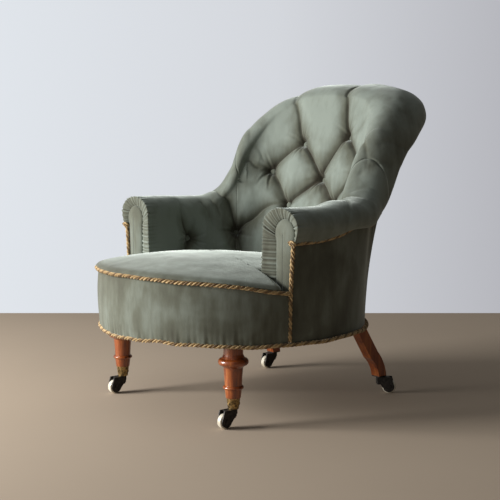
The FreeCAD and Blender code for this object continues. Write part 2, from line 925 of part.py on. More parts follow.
button_sets = {"back": BACK_BUTTONS, "arm": (ARM_BUTTON, mirror_point(ARM_BUTTON))}
hollows = {}
twines = []
for kind, places in button_sets.items():
    made = [button(f"{kind}_button_{index}", where) for index, where in enumerate(places)]
    subpart(group(f"{kind}_button_set", made), f"{kind}_buttons")
    tools = []
    for index, where in enumerate(places):
        twines.append(twine(f"{kind}_twine_{index}", where, "twine_diameter / 2"))
        tools.append(pocket(f"{kind}_pocket_{index}", where))
        tools.append(twine(f"{kind}_twine_hole_{index}", where, "twine_diameter / 2 + fit_gap"))
    hollows[kind] = tools
subpart(group("button_twine_set", twines), "button_twines")

TUB_STEP = 6
ARM_SHARES = (0.33, 0.67, 1)


def tub_stations(front):
    """The sections of the whole tub, from the front of one arm to the front of the other."""
    turns = [Station(angle) for angle in range(0, 91, TUB_STEP)]
    return both_sides(turns + [Station(90, front * share) for share in ARM_SHARES])


def fold_slabs():
    """Thin upright slabs at the two folds, where the back meets the arms."""
    reach = 2 * size("base_radius")
    slabs = []
    for side in (-1, 1):
        slab = Part.makeBox(2 * fit_gap, reach, 2 * reach, Vector(-fit_gap, 0, 0))
        slab.rotate(Vector(0, 0, 0), Vector(0, 0, 1), -side * fold_angle)
        slabs.append(slab)
    return slabs[0].fuse(slabs[1])


def back_and_arm(sections):
    """The back and the left arm of a form that runs round the whole tub, parted at the folds."""
    whole = Part.makeLoft(sections, True)
    _, back, left = sorted(whole.cut(fold_slabs()).Solids, key=lambda piece: piece.CenterOfMass.x)
    return back, left


cover_end = facing_front - fit_gap
back_cover, arm_cover = back_and_arm([cover_section(station) for station in tub_stations(cover_end)])
back_form, arm_form = back_and_arm([pad_section(station) for station in tub_stations(arm_front)])
back_pad = shaped("back_pad_form", back_form.cut(back_cover))
subpart(cut("back_pad", back_pad, fused("back_hollows", hollows["back"])), "inside_back_pad")


def facing_outline(grow):
    """The tongue-shaped outline of an arm's front, made larger by a gap."""
    end = Station(90, size("facing_front"))
    depth = size("cover_thickness + cover_gap") - grow
    foot_outer = end.base(cover_outer) - depth
    lip = end.outside(end.lip_height) - depth
    inner = size("facing_inner") - grow
    bottom = size("pad_bottom") - grow
    top = size("facing_top") + grow
    shoulder = end.lip_height
    waist = (bottom + shoulder) / 2
    waist_outer = end.outside(waist) - depth
    return (
        Vector(inner, 0, bottom),
        Vector(inner, 0, shoulder),
        Vector((inner + lip) / 2, 0, top),
        Vector(lip, 0, shoulder),
        Vector(waist_outer, 0, waist),
        Vector(foot_outer, 0, bottom),
    )


def facing_shape(grow, front, depth):
    """The facing as a flat panel, between two upright planes."""
    foot_inner, shoulder_inner, crown, shoulder_outer, waist, foot_outer = facing_outline(grow)
    edges = [
        Part.LineSegment(foot_inner, shoulder_inner).toShape(),
        Part.Arc(shoulder_inner, crown, shoulder_outer).toShape(),
        Part.Arc(shoulder_outer, waist, foot_outer).toShape(),
        Part.LineSegment(foot_outer, foot_inner).toShape(),
    ]
    face = Part.Face(Part.Wire(edges))
    face.translate(Vector(0, -front, 0))
    return face.extrude(Vector(0, depth, 0))


facing_left = subpart(shaped("facing_form", facing_shape(0, facing_front, size("facing_thickness"))),
                      "facing_left")
subpart(mirrored("facing_mirror", facing_left), "facing_right")


def arm_pad():
    """The left arm's pad, hollowed for the post, the facing and the arm's button."""
    form = shaped("arm_pad_form", arm_form.cut(arm_cover))
    gap = 2 * fit_gap
    recess_depth = arm_front - facing_front + size("facing_thickness") + gap
    recess = facing_shape(gap, arm_front + gap, recess_depth)
    post = arm_post()
    bounds = post.BoundBox
    hole_place = Vector(bounds.XMin - gap, bounds.YMin - gap, size("pad_bottom") - gap)
    hole = Part.makeBox(bounds.XLength + 2 * gap, bounds.YLength + 2 * gap,
                        bounds.ZMax - hole_place.z + gap, hole_place)
    room = shaped("arm_front_room", recess.fuse(hole))
    left_tools = hollows["arm"][:2] + hollows["back"][-2:] + [room]
    return cut("arm_pad", form, fused("arm_hollows", left_tools))


pad_left = subpart(arm_pad(), "arm_pad_left")
subpart(mirrored("arm_pad_mirror", pad_left), "arm_pad_right")

subpart(shaped("back_cover_form", back_cover), "outside_back_cover")
arm_cover_left = subpart(shaped("arm_cover_form", arm_cover), "outside_arm_left")
subpart(mirrored("arm_cover_mirror", arm_cover_left), "outside_arm_right")

# Ropes

base_rope = bind(doc.addObject("Part::Torus", "base_ring"), Radius1="base_radius", Radius2="rope_diameter / 2")
subpart(base_rope, "base_rope", turned(0, 0, 0, size("base_height")))


EDGE_ROPE_STEPS = 18


def seat_edge_rope():
    """The rope along the front edge of the seat, from arm to arm."""
    radius = size("base_radius")
    limit = math.degrees(math.acos(size(BORDER_FRONT) / radius))
    points = []
    for index in range(EDGE_ROPE_STEPS + 1):
        turn = math.radians(limit * (2 * index / EDGE_ROPE_STEPS - 1))
        x = radius * math.sin(turn)
        y = -radius * math.cos(turn)
        points.append(Vector(x, y, seat_height(x, y) - size("seat_cover_thickness") / 4))
    subpart(shaped("seat_edge", tube(points, rope_radius)), "seat_edge_rope")


seat_edge_rope()


def arm_front_rope():
    """The rope up the outer front corner of the left arm."""
    front = facing_front + rope_radius + fit_gap
    end = Station(90, front)
    foot = Vector(end.base(size(f"{COVER_INNER} + rope_diameter / 2")), -front, size("rail_bottom"))
    top_side = end.outside(end.lip_height) - size("cover_thickness") / 2
    top = Vector(top_side, -front, end.lip_height - rope_radius)
    direction = top - foot
    return Part.makeCylinder(rope_radius, direction.Length, foot, direction)


front_rope = subpart(shaped("front_rope", arm_front_rope()), "arm_front_rope_left")
subpart(mirrored("front_rope_mirror", front_rope), "arm_front_rope_right")

def outer_top_rope():
    """The rope under the roll, along the top of the outer covers."""
    run = [Station(angle) for angle in RUN_STEPS] + [Station(90, cover_end / 2), Station(90, cover_end)]
    points = []
    for station in both_sides(run):
        radius = station.lip + rope_radius + size("rope_clearance")
        points.append(station.point(radius, station.lip_height - rope_radius / 2))
    subpart(shaped("top_rope", tube(points, rope_radius)), "outer_top_rope")


outer_top_rope()

# Legs


def front_leg():
    """A turned front leg: a peg, a neck, a large bead, a taper, a ring and a foot in the caster's cup."""
    neck = "leg_neck_radius"
    cup_inner_rim = "cup_rim_radius - cup_wall - fit_gap / 2"
    cup_inner_foot = "cup_foot_radius - cup_wall - fit_gap / 2"
    foot_end = f"{CUP_BOTTOM} + cup_floor"
    corners = (
        ("pintle_radius + fit_gap / 2", foot_end),
        (cup_inner_foot, foot_end),
        (cup_inner_rim, "cup_rim_height"),
        ("leg_foot_radius", "cup_rim_height"),
        ("leg_taper_radius", "leg_ring_height - leg_ring_half"),
        ("leg_taper_radius", "leg_ring_height + leg_ring_half", "leg_ring_radius", "leg_ring_height"),
        (neck, "leg_bead_height - leg_bead_lower - leg_collar_height",
         "leg_taper_radius + leg_step", "leg_ring_height + leg_taper_rise"),
        (f"{neck} + leg_collar_height", "leg_bead_height - leg_bead_lower"),
        (f"{neck} + leg_collar_height", "leg_bead_height + leg_bead_upper",
         "leg_bead_radius", "leg_bead_height"),
        (neck, f"leg_bead_height + leg_bead_upper + 2 * leg_collar_height",
         f"{neck} + 2 * leg_step", "leg_bead_height + leg_bead_upper + leg_collar_height"),
        (neck, "rail_bottom"),
        ("spigot_radius", "rail_bottom"),
        ("spigot_radius", "rail_bottom + spigot_length"),
        ("0", "rail_bottom + spigot_length"),
        ("0", "horn_top + pintle_length / 2 + fit_gap"),
        ("pintle_radius + fit_gap / 2", "horn_top + pintle_length / 2 + fit_gap"),
    )
    return turned_piece("turned_leg", corners)


def rear_leg():
    """A sabre leg: it sweeps back from the rail and turns down to its foot."""
    half = "rear_leg_foot_width / 2"
    across = f"knee_across_share * {half}"
    rise = f"knee_rise_share * {half}"
    foot_end = f"{CUP_BOTTOM} + cup_floor"
    corners = (
        (f"rear_leg_foot_back + {half}", foot_end),
        (f"rear_leg_knee_back + {across}", f"rear_leg_knee_height + {rise}",
         f"rear_leg_bend_back + {across}", f"rear_leg_bend_height + bend_rise_share * {half}"),
        ("rear_leg_top_back + rear_leg_top_width / 2", "rail_bottom"),
        ("rear_leg_top_back - rear_leg_top_width / 2", "rail_bottom"),
        (f"rear_leg_knee_back - {across}", f"rear_leg_knee_height - {rise}"),
        (f"rear_leg_foot_back - {half}", foot_end,
         f"rear_leg_bend_back - {half}", f"rear_leg_bend_height - hollow_drop_share * {half}"),
    )
    return sawn_piece("sabre_leg", "YZ_Plane", corners, "rear_leg_thickness")


# Casters: a cup or plate on the leg, a pintle, a swivelling horn, a wheel and its axle

CORNERS = (
    ("front_left", front_places[0], 0),
    ("front_right", front_places[1], 0),
    ("rear_left", (rear_places[0][0], size("rear_leg_foot_back")), size("near_caster_turn")),
    ("rear_right", (rear_places[1][0], size("rear_leg_foot_back")), 0),
)


def screw(name, place, grow=0.0):
    """A screw: its head outside, its shank along -Z."""
    head = Part.makeCylinder(size("screw_head_radius") + grow, size("screw_head"))
    shank = Part.makeCylinder(size("screw_radius") + grow, size("screw_length") + grow,
                              Vector(0, 0, 0), Vector(0, 0, -1))
    item = shaped(name, head.fuse(shank))
    item.Placement = place
    return item


CUP_SCREWS = 3


def cup_screw_places(x, y):
    """Screws evenly round a cup, the first at its front."""
    height = size(f"({CUP_BOTTOM} + cup_rim_height) / 2")
    radius = size("(cup_rim_radius + cup_foot_radius) / 2")
    places = []
    for count in range(CUP_SCREWS):
        turn = 360 / CUP_SCREWS * count - 90
        outward = turned(turn, x, y, height)
        along = Placement(Vector(radius, 0, 0), Rotation(Vector(0, 1, 0), 90))
        places.append(outward.multiply(along))
    return places


def plate_screw_places(x, y):
    """Four screws up through a plate."""
    reach = size("plate_side / 2 - plate_screw_inset")
    places = []
    for side in (-1, 1):
        for end in (-1, 1):
            point = Vector(x + side * reach, y + end * reach, size(f"{CUP_BOTTOM} + screw_head"))
            places.append(Placement(point, Rotation(Vector(1, 0, 0), 180)))
    return places


def caster_cup():
    """The brass cup over the foot of a turned leg."""
    corners = (
        ("pintle_radius + fit_gap / 2", CUP_BOTTOM),
        ("cup_foot_radius", CUP_BOTTOM),
        ("cup_rim_radius", "cup_rim_height"),
        ("cup_rim_radius - cup_wall", "cup_rim_height"),
        ("cup_foot_radius - cup_wall", f"{CUP_BOTTOM} + cup_floor"),
        ("pintle_radius + fit_gap / 2", f"{CUP_BOTTOM} + cup_floor"),
    )
    return turned_piece("cup", corners)


def copies(source, name):
    """A linked copy of a shape, to be placed somewhere else."""
    item = doc.addObject("Part::Compound", name)
    item.Links = [source]
    return item


def horn():
    """The swivelling horn: a boss round the pintle, a top plate and two cheeks that carry the axle."""
    axle_y = "-caster_trail"
    boss = cylinder("horn_boss", "horn_boss_radius", "horn_top - horn_boss_bottom",
                    turned(0, 0, 0, size("horn_boss_bottom")))
    plate_width = f"2 * ({FORK_HALF_WIDTH})"
    plate = box("horn_plate_form", plate_width, "caster_trail + horn_boss_radius / 2", "horn_plate",
                turned(0, -size(FORK_HALF_WIDTH), -size("caster_trail"), size("horn_top - horn_plate")))
    corners = (
        ("horn_boss_radius / 2", "horn_top"),
        (f"{axle_y} - cheek_radius / 2", "horn_top"),
        (f"{axle_y} - cheek_radius", "wheel_radius + cheek_shoulder_rise"),
        (f"{axle_y} + cheek_radius * cheek_flank_share", "wheel_radius - cheek_flank_drop",
         axle_y, "wheel_radius - cheek_radius"),
        ("horn_boss_radius / 2", "horn_top - 2 * horn_plate"),
    )
    cheeks = []
    for side in (-1, 1):
        cheek = sawn_piece(f"cheek_{side + 1}", "YZ_Plane", corners, "cheek_thickness")
        cheek.Placement = turned(0, side * size(f"{FORK_HALF_WIDTH} - cheek_thickness / 2"))
        cheeks.append(cheek)
    bores = group("horn_bores", [
        cylinder("pintle_bore", "pintle_radius + fit_gap", "2 * horn_top", turned(0)),
        cylinder("axle_bore", "axle_radius + axle_gap", plate_width, axle_place(size(FORK_HALF_WIDTH))),
    ])
    return cut("horn", fused("horn_blank", [boss, plate] + cheeks), bores)


def axle_place(half):
    """A placement along X through the wheel's centre, starting at minus half."""
    return Placement(Vector(-half, -size("caster_trail"), size("wheel_radius")), Rotation(Vector(0, 1, 0), 90))


def wheel():
    """A china wheel with rounded edges, bored for its axle."""
    half = "wheel_width / 2"
    inset = "wheel_edge * wheel_edge_share"
    corners = (
        ("axle_radius + axle_gap", f"-({half})"),
        ("wheel_radius - wheel_edge", f"-({half})"),
        ("wheel_radius", f"wheel_edge - {half}", f"wheel_radius - {inset}", f"{inset} - {half}"),
        ("wheel_radius", f"{half} - wheel_edge"),
        ("wheel_radius - wheel_edge", half, f"wheel_radius - {inset}", f"{half} - {inset}"),
        ("axle_radius + axle_gap", half),
    )
    return turned_piece("wheel", corners)


def axle():
    """The axle, riveted over the cheeks at both ends."""
    half = size(f"{FORK_HALF_WIDTH} + axle_gap")
    pin = cylinder("axle_pin", "axle_radius", f"2 * ({FORK_HALF_WIDTH} + axle_gap)", axle_place(half))
    heads = [
        cylinder("axle_head_0", "2 * axle_radius", "axle_head", axle_place(half + size("axle_head"))),
        cylinder("axle_head_1", "2 * axle_radius", "axle_head", axle_place(-half)),
    ]
    return fused("axle", [pin] + heads)


def pintle():
    """The pin that the horn turns on, with a rivet head under the horn."""
    foot = "horn_boss_bottom - fit_gap - rivet_height"
    length = "horn_top - horn_boss_bottom + pintle_length / 2 + rivet_height"
    pin = cylinder("pintle_pin", "pintle_radius", length, turned(0, 0, 0, size(foot)))
    head = cylinder("pintle_head", "rivet_radius", "rivet_height", turned(0, 0, 0, size(foot)))
    return fused("pintle", [pin, head])


screws = []
screw_holes = []
for corner, (x, y), _ in CORNERS:
    places = cup_screw_places(x, y) if corner.startswith("front") else plate_screw_places(x, y)
    for count, place in enumerate(places):
        screws.append(screw(f"screw_{corner}_{count}", place))
        screw_holes.append(screw(f"screw_hole_{corner}_{count}", place, fit_gap / 3))
subpart(group("screw_set", screws), "caster_screws")
holes = group("screw_holes", screw_holes)

leg_front_form = front_leg()
leg_rear_form = rear_leg()
cup_form = caster_cup()
horn_form = horn()
wheel_form = wheel()
axle_form = axle()
pintle_form = pintle()

dowels = [
    cylinder(f"dowel_{index}", "dowel_radius", "dowel_length",
             turned(0, x, y, size("rail_bottom - dowel_length / 2")))
    for index, (x, y) in enumerate(dowel_places)
]
subpart(group("dowel_set", dowels), "rear_leg_dowels")
dowel_holes = group("dowel_holes", [
    cylinder(f"dowel_hole_{index}", "dowel_radius + fit_gap / 2", "dowel_length",
             turned(0, x, y, size("rail_bottom - dowel_length / 2") - fit_gap))
    for index, (x, y) in enumerate(dowel_places)
])

for corner, (x, y), turn in CORNERS:
    stand = turned(0, x, y)
    swivel = turned(turn, x, y)
    if corner.startswith("front"):
        leg = copies(leg_front_form, f"leg_{corner}")
        leg.Placement = stand
        subpart(cut(f"drilled_leg_{corner}", leg, holes), f"{corner.replace('_', '_leg_')}")
        cup = copies(cup_form, f"cup_{corner}")
        cup.Placement = stand
        subpart(cut(f"drilled_cup_{corner}", cup, holes), f"caster_cup_{corner}")
    else:
        leg = copies(leg_rear_form, f"leg_{corner}")
        leg.Placement = turned(0, x)
        bore = cylinder(f"foot_bore_{corner}", "pintle_radius + fit_gap / 2",
                        "horn_top + pintle_length / 2 + fit_gap", stand)
        tools = group(f"leg_tools_{corner}", [holes, bore, dowel_holes])
        subpart(cut(f"drilled_leg_{corner}", leg, tools), f"{corner.replace('_', '_leg_')}")
        half = size("plate_side / 2")
        plate = box(f"plate_{corner}", "plate_side", "plate_side", "cup_floor",
                    turned(0, x - half, y - half, size(CUP_BOTTOM)))
        plate_tools = group(f"plate_tools_{corner}", [holes, bore])
        subpart(cut(f"drilled_plate_{corner}", plate, plate_tools), f"caster_plate_{corner}")
    subpart(copies(pintle_form, f"pintle_{corner}"), f"caster_pintle_{corner}", stand)
    subpart(copies(horn_form, f"horn_{corner}"), f"caster_horn_{corner}", swivel)
    subpart(copies(axle_form, f"axle_{corner}"), f"caster_axle_{corner}", swivel)
    hub = swivel.multiply(Placement(Vector(0, -size("caster_trail"), size("wheel_radius")),
                                    Rotation(Vector(0, 1, 0), 90)))
    subpart(copies(wheel_form, f"wheel_{corner}"), f"caster_wheel_{corner}", hub)

doc.recompute()


def middle_of_outline():
    """Where the middle of the chair's outline lies along Y."""
    bounds = FreeCAD.BoundBox()
    for item in subparts:
        bounds.add(item.Shape.optimalBoundingBox(False))
    return bounds.Center.y


shift = Placement(Vector(0, -middle_of_outline(), 0), Rotation())
for item in subparts:
    if item.TypeId != "Part::Mirroring":
        item.Placement = shift.multiply(item.Placement)
doc.recompute()
print("axis of the seat at y", shift.Base.y)

# Checks before anything is written

for item in doc.Objects:
    states = set(item.State)
    if states & {"Invalid", "Error"}:
        raise RuntimeError(f"{item.Name} failed: {item.State}")
for item in subparts:
    if item.Shape.isNull() or not item.Shape.isValid():
        raise RuntimeError(f"{item.Label} has a bad shape")
    if not item.Shape.Solids:
        raise RuntimeError(f"{item.Label} has no solid")

os.makedirs("parts", exist_ok=True)
for item in subparts:
    item.Shape.exportStep(f"parts/{item.Label}.step")
print(len(subparts), "sub-parts written")
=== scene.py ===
import json
import math
import random

import bpy
import numpy as np
from mathutils import Matrix, Vector, noise


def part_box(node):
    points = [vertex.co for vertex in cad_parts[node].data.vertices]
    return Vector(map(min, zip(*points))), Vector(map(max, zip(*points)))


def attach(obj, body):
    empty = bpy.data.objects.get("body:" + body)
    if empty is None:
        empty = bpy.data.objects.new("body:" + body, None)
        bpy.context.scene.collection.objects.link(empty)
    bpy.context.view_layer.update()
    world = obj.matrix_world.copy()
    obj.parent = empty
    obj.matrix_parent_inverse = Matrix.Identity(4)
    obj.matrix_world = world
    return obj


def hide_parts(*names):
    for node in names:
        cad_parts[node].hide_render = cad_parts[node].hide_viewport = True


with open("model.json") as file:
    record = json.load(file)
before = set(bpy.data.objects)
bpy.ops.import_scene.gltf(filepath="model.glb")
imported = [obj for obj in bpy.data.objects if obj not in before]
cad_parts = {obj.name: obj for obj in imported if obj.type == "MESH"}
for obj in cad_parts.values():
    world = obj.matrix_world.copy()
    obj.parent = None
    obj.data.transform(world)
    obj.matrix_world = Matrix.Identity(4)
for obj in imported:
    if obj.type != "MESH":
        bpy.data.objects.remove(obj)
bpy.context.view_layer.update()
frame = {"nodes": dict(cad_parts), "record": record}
nodes = frame["nodes"]
bpy.ops.object.select_all(action="DESELECT")

MM = 0.001
FLOOR = 0.0

# The axis of the round seat, in the chair's own frame
rope_low, rope_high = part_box("base_rope")
SEAT_AXIS = (rope_low + rope_high) / 2
SEAT_AXIS.z = 0

# The chair's main sizes, as in its source, in millimetres

BASE_RADIUS = 350
BASE_HEIGHT = 201
COVER_FOOT = 206
COVER_OUTER = 345.2
SEAT_SIDE = 240
SEAT_BACK = 222
SEAT_LEVEL = 335
PAD_BOTTOM = 283
CROWN_HEIGHT = 388
CROWN_FORWARD = 170
ARM_FRONT = 99
SEAT_NOTCH = 108
COVER_FRONT = 91.7
FACING_FRONT = 92
FACING_INNER = 279
FACING_OUTER = 338.5
FACING_SHOULDER = 442
FOLD_ANGLE = 48.2

ARM_ROLL_HEIGHT = 475
BACK_ROLL_RISE = 300
ROLL_HALF = 34
ROLL_SWELL = 10
LIP_INSET = 10
LIP_DROP = 55
ROLL_ANGLES = (0, 14, 26, 34, 42, 50, 62, 78, 90)
ROLL_OVERHANGS = (167, 174, 174, 129, 77, 38, 26, 14, 3)
ROLL_RISES = (1.0, 0.987, 0.9, 0.75, 0.517, 0.19, 0.017, -0.007, 0)
ROLL_WIDTHS = (163, 165, 152, 116, 94, 92, 106, 111, 105)

BACK_BUTTONS = {
    "top_right": (-92, 338, 666),
    "top_left": (90, 338, 685),
    "side_right": (-184, 306, 588),
    "middle": (16, 334, 570),
    "side_left": (186, 309, 590),
    "low_right": (-94, 278, 497),
    "low_left": (94, 279, 507),
    "fold_right": (-222, 194, 417),
    "fold_left": (222, 194, 417),
}
ARM_BUTTONS = {"arm_left": (270, 52, 400), "arm_right": (-270, 52, 400)}


# What the stuffing and the covers do beyond the plain solids: the left arm is plumper behind its
# middle, the roll's edge lies higher there on both arms, and round the back it is tucked in.

PLUMP_ARM = 16
PLUMP_TURN = 70
PLUMP_SPREAD = 13
LIP_LIFT = 18
LIP_TUCK = 13
TUCK_END = 56
TUCK_SPREAD = 3
FOOT_TUCK = 8


def metres(points):
    """Millimetres about the seat's axis, as metres in the chair's frame."""
    return np.asarray(points, float) * MM + np.array(SEAT_AXIS)


# The roll and the walls of the tub

def smooth(values, angle):
    """A smooth curve through a column of the roll's path, level at the middle of the back."""
    slopes = [0.0]
    for i in range(1, len(values) - 1):
        before = (values[i] - values[i - 1]) / (ROLL_ANGLES[i] - ROLL_ANGLES[i - 1])
        after = (values[i + 1] - values[i]) / (ROLL_ANGLES[i + 1] - ROLL_ANGLES[i])
        slopes.append((before + after) / 2)
    slopes.append(0.0)
    i = max(k for k in range(len(ROLL_ANGLES) - 1) if ROLL_ANGLES[k] <= angle)
    span = ROLL_ANGLES[i + 1] - ROLL_ANGLES[i]
    t = (angle - ROLL_ANGLES[i]) / span
    level = (1 + 2 * t) * (1 - t) ** 2 * values[i] + t * t * (3 - 2 * t) * values[i + 1]
    lean = t * (1 - t) ** 2 * slopes[i] + t * t * (t - 1) * slopes[i + 1]
    return level + span * lean


def roll_height(angle):
    """The height of the roll's axis."""
    return ARM_ROLL_HEIGHT + BACK_ROLL_RISE * smooth(ROLL_RISES, min(abs(angle), 90))


class Station:
    """One upright section through the tub. Past 90 degrees, a station runs forward along an arm."""

    def __init__(self, turn):
        self.side = math.copysign(1, turn)
        self.angle = min(abs(turn), 90)
        self.advance = (abs(turn) - self.angle) * math.radians(1) * BASE_RADIUS
        self.outer = BASE_RADIUS + smooth(ROLL_OVERHANGS, self.angle)
        self.inner = self.outer - smooth(ROLL_WIDTHS, self.angle)
        plump = math.exp(-(((abs(turn) - PLUMP_TURN) / PLUMP_SPREAD) ** 2))
        self.height = roll_height(self.angle) + (PLUMP_ARM * plump if turn > 0 else 0)
        step = 0.5
        rise = roll_height(self.angle + step) - roll_height(abs(self.angle - step))
        self.slope = rise / (math.radians(2 * step) * self.outer)
        stretch = math.hypot(1, self.slope)
        swell = ROLL_SWELL * math.exp(-((self.angle / FOLD_ANGLE) ** 4))
        self.roll_half = (ROLL_HALF + swell) * stretch
        self.drop = LIP_DROP * stretch
        tuck = LIP_TUCK / (1 + math.exp((self.angle - TUCK_END) / TUCK_SPREAD))
        self.lip = self.outer - LIP_INSET - tuck
        self.lip_height = self.height - 0.6 * self.drop + LIP_LIFT * plump
        self.cover_foot = math.sqrt(max(0, COVER_OUTER ** 2 - self.advance ** 2))

    def place(self, radius, height):
        """A point of this section, in millimetres about the seat's axis."""
        if self.advance:
            return (self.side * radius, -self.advance, height)
        turn = math.radians(self.angle)
        return (self.side * radius * math.sin(turn), radius * math.cos(turn), height)

    def wall(self):
        """The distance of the inside of the tub at seat level."""
        turn = math.radians(self.angle)
        return 1 / math.hypot(math.sin(turn) / SEAT_SIDE, math.cos(turn) / SEAT_BACK)

    def inside(self, height):
        """The distance of the inside face of the pad."""
        share = max(0.0, (height - SEAT_LEVEL) / (self.height - SEAT_LEVEL))
        return self.wall() + (self.inner - self.wall()) * share

    def outside(self, height):
        """The distance of the outer cover."""
        share = (height - COVER_FOOT) / (self.lip_height - COVER_FOOT)
        return self.cover_foot + (self.lip - self.cover_foot) * share ** 2

    def pad_line(self):
        """The pad's outline: from under the seat up the inside, over the roll and down to its lip."""
        middle = (self.inner + self.outer) / 2
        half = (self.outer - self.inner) / 2
        line = []
        for share in (0, 0.3, 0.55, 0.8):
            height = PAD_BOTTOM + (self.height - PAD_BOTTOM) * share
            line.append((self.inside(height), height))
        for turn in range(180, -1, -30):
            angle = math.radians(turn)
            height = self.height + self.roll_half * math.sin(angle)
            line.append((middle + half * math.cos(angle), height))
        line.append((self.outer - 3, self.height - 0.3 * self.drop))
        line.append((self.lip, self.lip_height))
        return np.array(line)


FACE_END = 4
ROLL_END = 10
LINE_END = 12
TURN_END = 90 + math.degrees(ARM_FRONT / BASE_RADIUS)


def spline_at(line, where):
    """Points of a smooth curve through a line of knots, at knot numbers that may be fractions."""
    where = np.clip(np.asarray(where, float), 0, len(line) - 1)
    i = np.minimum(where.astype(int), len(line) - 2)
    t = (where - i)[:, None]
    padded = np.vstack([2 * line[0] - line[1], line, 2 * line[-1] - line[-2]])
    a, b, c, d = padded[i], padded[i + 1], padded[i + 2], padded[i + 3]
    bend = (2 * a - 5 * b + 4 * c - d) * t + (3 * b - 3 * c + d - a) * t * t
    return b + 0.5 * t * ((c - a) + bend)


def tub_points(turns, knots):
    """A grid of points on the tub: one row of sections, one column of places along each section."""
    grid = []
    for turn in turns:
        station = Station(turn)
        line = spline_at(station.pad_line(), knots)
        grid.append([station.place(radius, height) for radius, height in line])
    return np.array(grid)


# Meshes from grids

def unit(vectors):
    """The same directions, each with a length of one."""
    return vectors / np.maximum(np.linalg.norm(vectors, axis=-1, keepdims=True), 1e-9)


def grid_normals(points):
    """Unit normals of a grid, from its own neighbours."""
    return unit(np.cross(np.gradient(points, axis=0), np.gradient(points, axis=1)))


def lengths_along(points):
    """How far along a line each of its points lies."""
    return np.concatenate([[0], np.cumsum(np.linalg.norm(np.diff(points, axis=0), axis=1))])


def resampled(points, step, least=2, extra=1):
    """A line of points, spaced evenly, and how far along each lies."""
    points = np.asarray(points, float)
    lengths = lengths_along(points)
    even = np.linspace(0, lengths[-1], max(least, int(lengths[-1] / step) + extra))
    return np.stack([np.interp(even, lengths, points[:, k]) for k in range(3)], axis=1), even


def new_object(name, vertices, faces):
    """A mesh object at the origin, with its place in its mesh."""
    mesh = bpy.data.meshes.new(name)
    mesh.from_pydata([tuple(v) for v in vertices], [], faces)
    mesh.update()
    piece = bpy.data.objects.new(name, mesh)
    bpy.context.scene.collection.objects.link(piece)
    mesh.polygons.foreach_set("use_smooth", [True] * len(mesh.polygons))
    return piece


def grid_faces(rows, columns, wrap_rows=False, wrap_columns=False, flip=False):
    """Quads over a grid of vertices, facing along rows times columns unless flipped."""
    faces = []
    for i in range(rows if wrap_rows else rows - 1):
        for j in range(columns if wrap_columns else columns - 1):
            a = i * columns + j
            b = i * columns + (j + 1) % columns
            c = (i + 1) % rows * columns + (j + 1) % columns
            d = (i + 1) % rows * columns + j
            faces.append((a, b, c, d) if flip else (a, d, c, b))
    return faces


def apply_modifier(piece, kind, **settings):
    """Add a modifier to a piece and apply it."""
    modifier = piece.modifiers.new(kind.lower(), kind)
    for key, value in settings.items():
        setattr(modifier, key, value)
    bpy.context.view_layer.objects.active = piece
    piece.select_set(True)
    bpy.ops.object.modifier_apply(modifier=modifier.name)
    piece.select_set(False)


def cloth_from_grid(name, points, thickness, flip=False, rise=None):
    """A piece of velvet with its face outwards and a back; rise is its painted shade, dark in folds
    and pale on crests.
    """
    rows, columns = points.shape[:2]
    piece = new_object(name, metres(points).reshape(-1, 3), grid_faces(rows, columns, flip=flip))
    if rise is not None:
        layer = piece.data.attributes.new("rise", "FLOAT", "POINT")
        layer.data.foreach_set("value", rise.ravel())
    apply_modifier(piece, "SOLIDIFY", thickness=thickness * MM, offset=-1)
    return piece


# Tufting: pleats between the buttons, wells at the buttons, soft folds

turn_steps = {
    "back": np.linspace(-FOLD_ANGLE, FOLD_ANGLE, 260),
    "arm_left": np.concatenate([
        np.linspace(FOLD_ANGLE, 90, 100),
        np.linspace(90, TURN_END, 34)[1:],
    ]),
}
turn_steps["arm_right"] = -turn_steps["arm_left"]
knot_steps = np.concatenate([
    np.linspace(0.4, FACE_END, 136, endpoint=False),
    np.linspace(FACE_END, ROLL_END, 64, endpoint=False),
    np.linspace(ROLL_END, LINE_END, 12),
])


def find_on_tub(point):
    """The turn and knot of the place on the inside of the tub that lies nearest to a point."""
    turn = math.degrees(math.atan2(point[0], point[1]))
    if abs(turn) > 90:
        turn = math.copysign(90 + math.degrees(-point[1] / BASE_RADIUS), turn)
    knots = np.linspace(0, FACE_END, 200)
    heights = tub_points([turn], knots)[0][:, 2]
    return turn, float(np.interp(point[2], heights, knots))


spots = {name: find_on_tub(point) for name, point in {**BACK_BUTTONS, **ARM_BUTTONS}.items()}


def other_side(name):
    """The name of the same place on the other side."""
    if name.endswith("_left"):
        return name[:-5] + "_right"
    if name.endswith("_right"):
        return name[:-6] + "_left"
    return name


# A pleat runs through its places, each a button or a turn and knot; then come how deep it is at its
# two ends, and which of its sides lies over the other.
PAIRED_PLEATS = [
    (("top_left", "middle"), 1.0, 0.95, 1),
    (("top_left", "side_left"), 1.0, 0.95, -1),
    (("middle", "low_left"), 1.0, 1.0, 1),
    (("side_left", "low_left"), 0.95, 0.9, -1),
    (("fold_left", (44, 1.68), (38, 1.55), (31, 1.62), "low_left"), 1.05, 0.35, 1),
    (("fold_left", (53.5, 3.75), (58, 5.4), (60.5, 7.6)), 1.05, 0.2, -1),
    (("fold_left", (49.3, 1.2), (49.4, 0.5)), 0.9, 0.6, 1),
    (("fold_left", (46, 1.1), (43.8, 0.5)), 0.7, 0.5, -1),
    (("low_left", (16.5, 1.0), (15.5, 0.5)), 0.6, 0.3, 1),
    (("arm_left", (84, 3.05), (85.5, 4.2), (85, 6.2)), 0.9, 0.15, 1),
    (("arm_left", (82.8, 1.4), (82.4, 0.5)), 0.9, 0.7, -1),
]
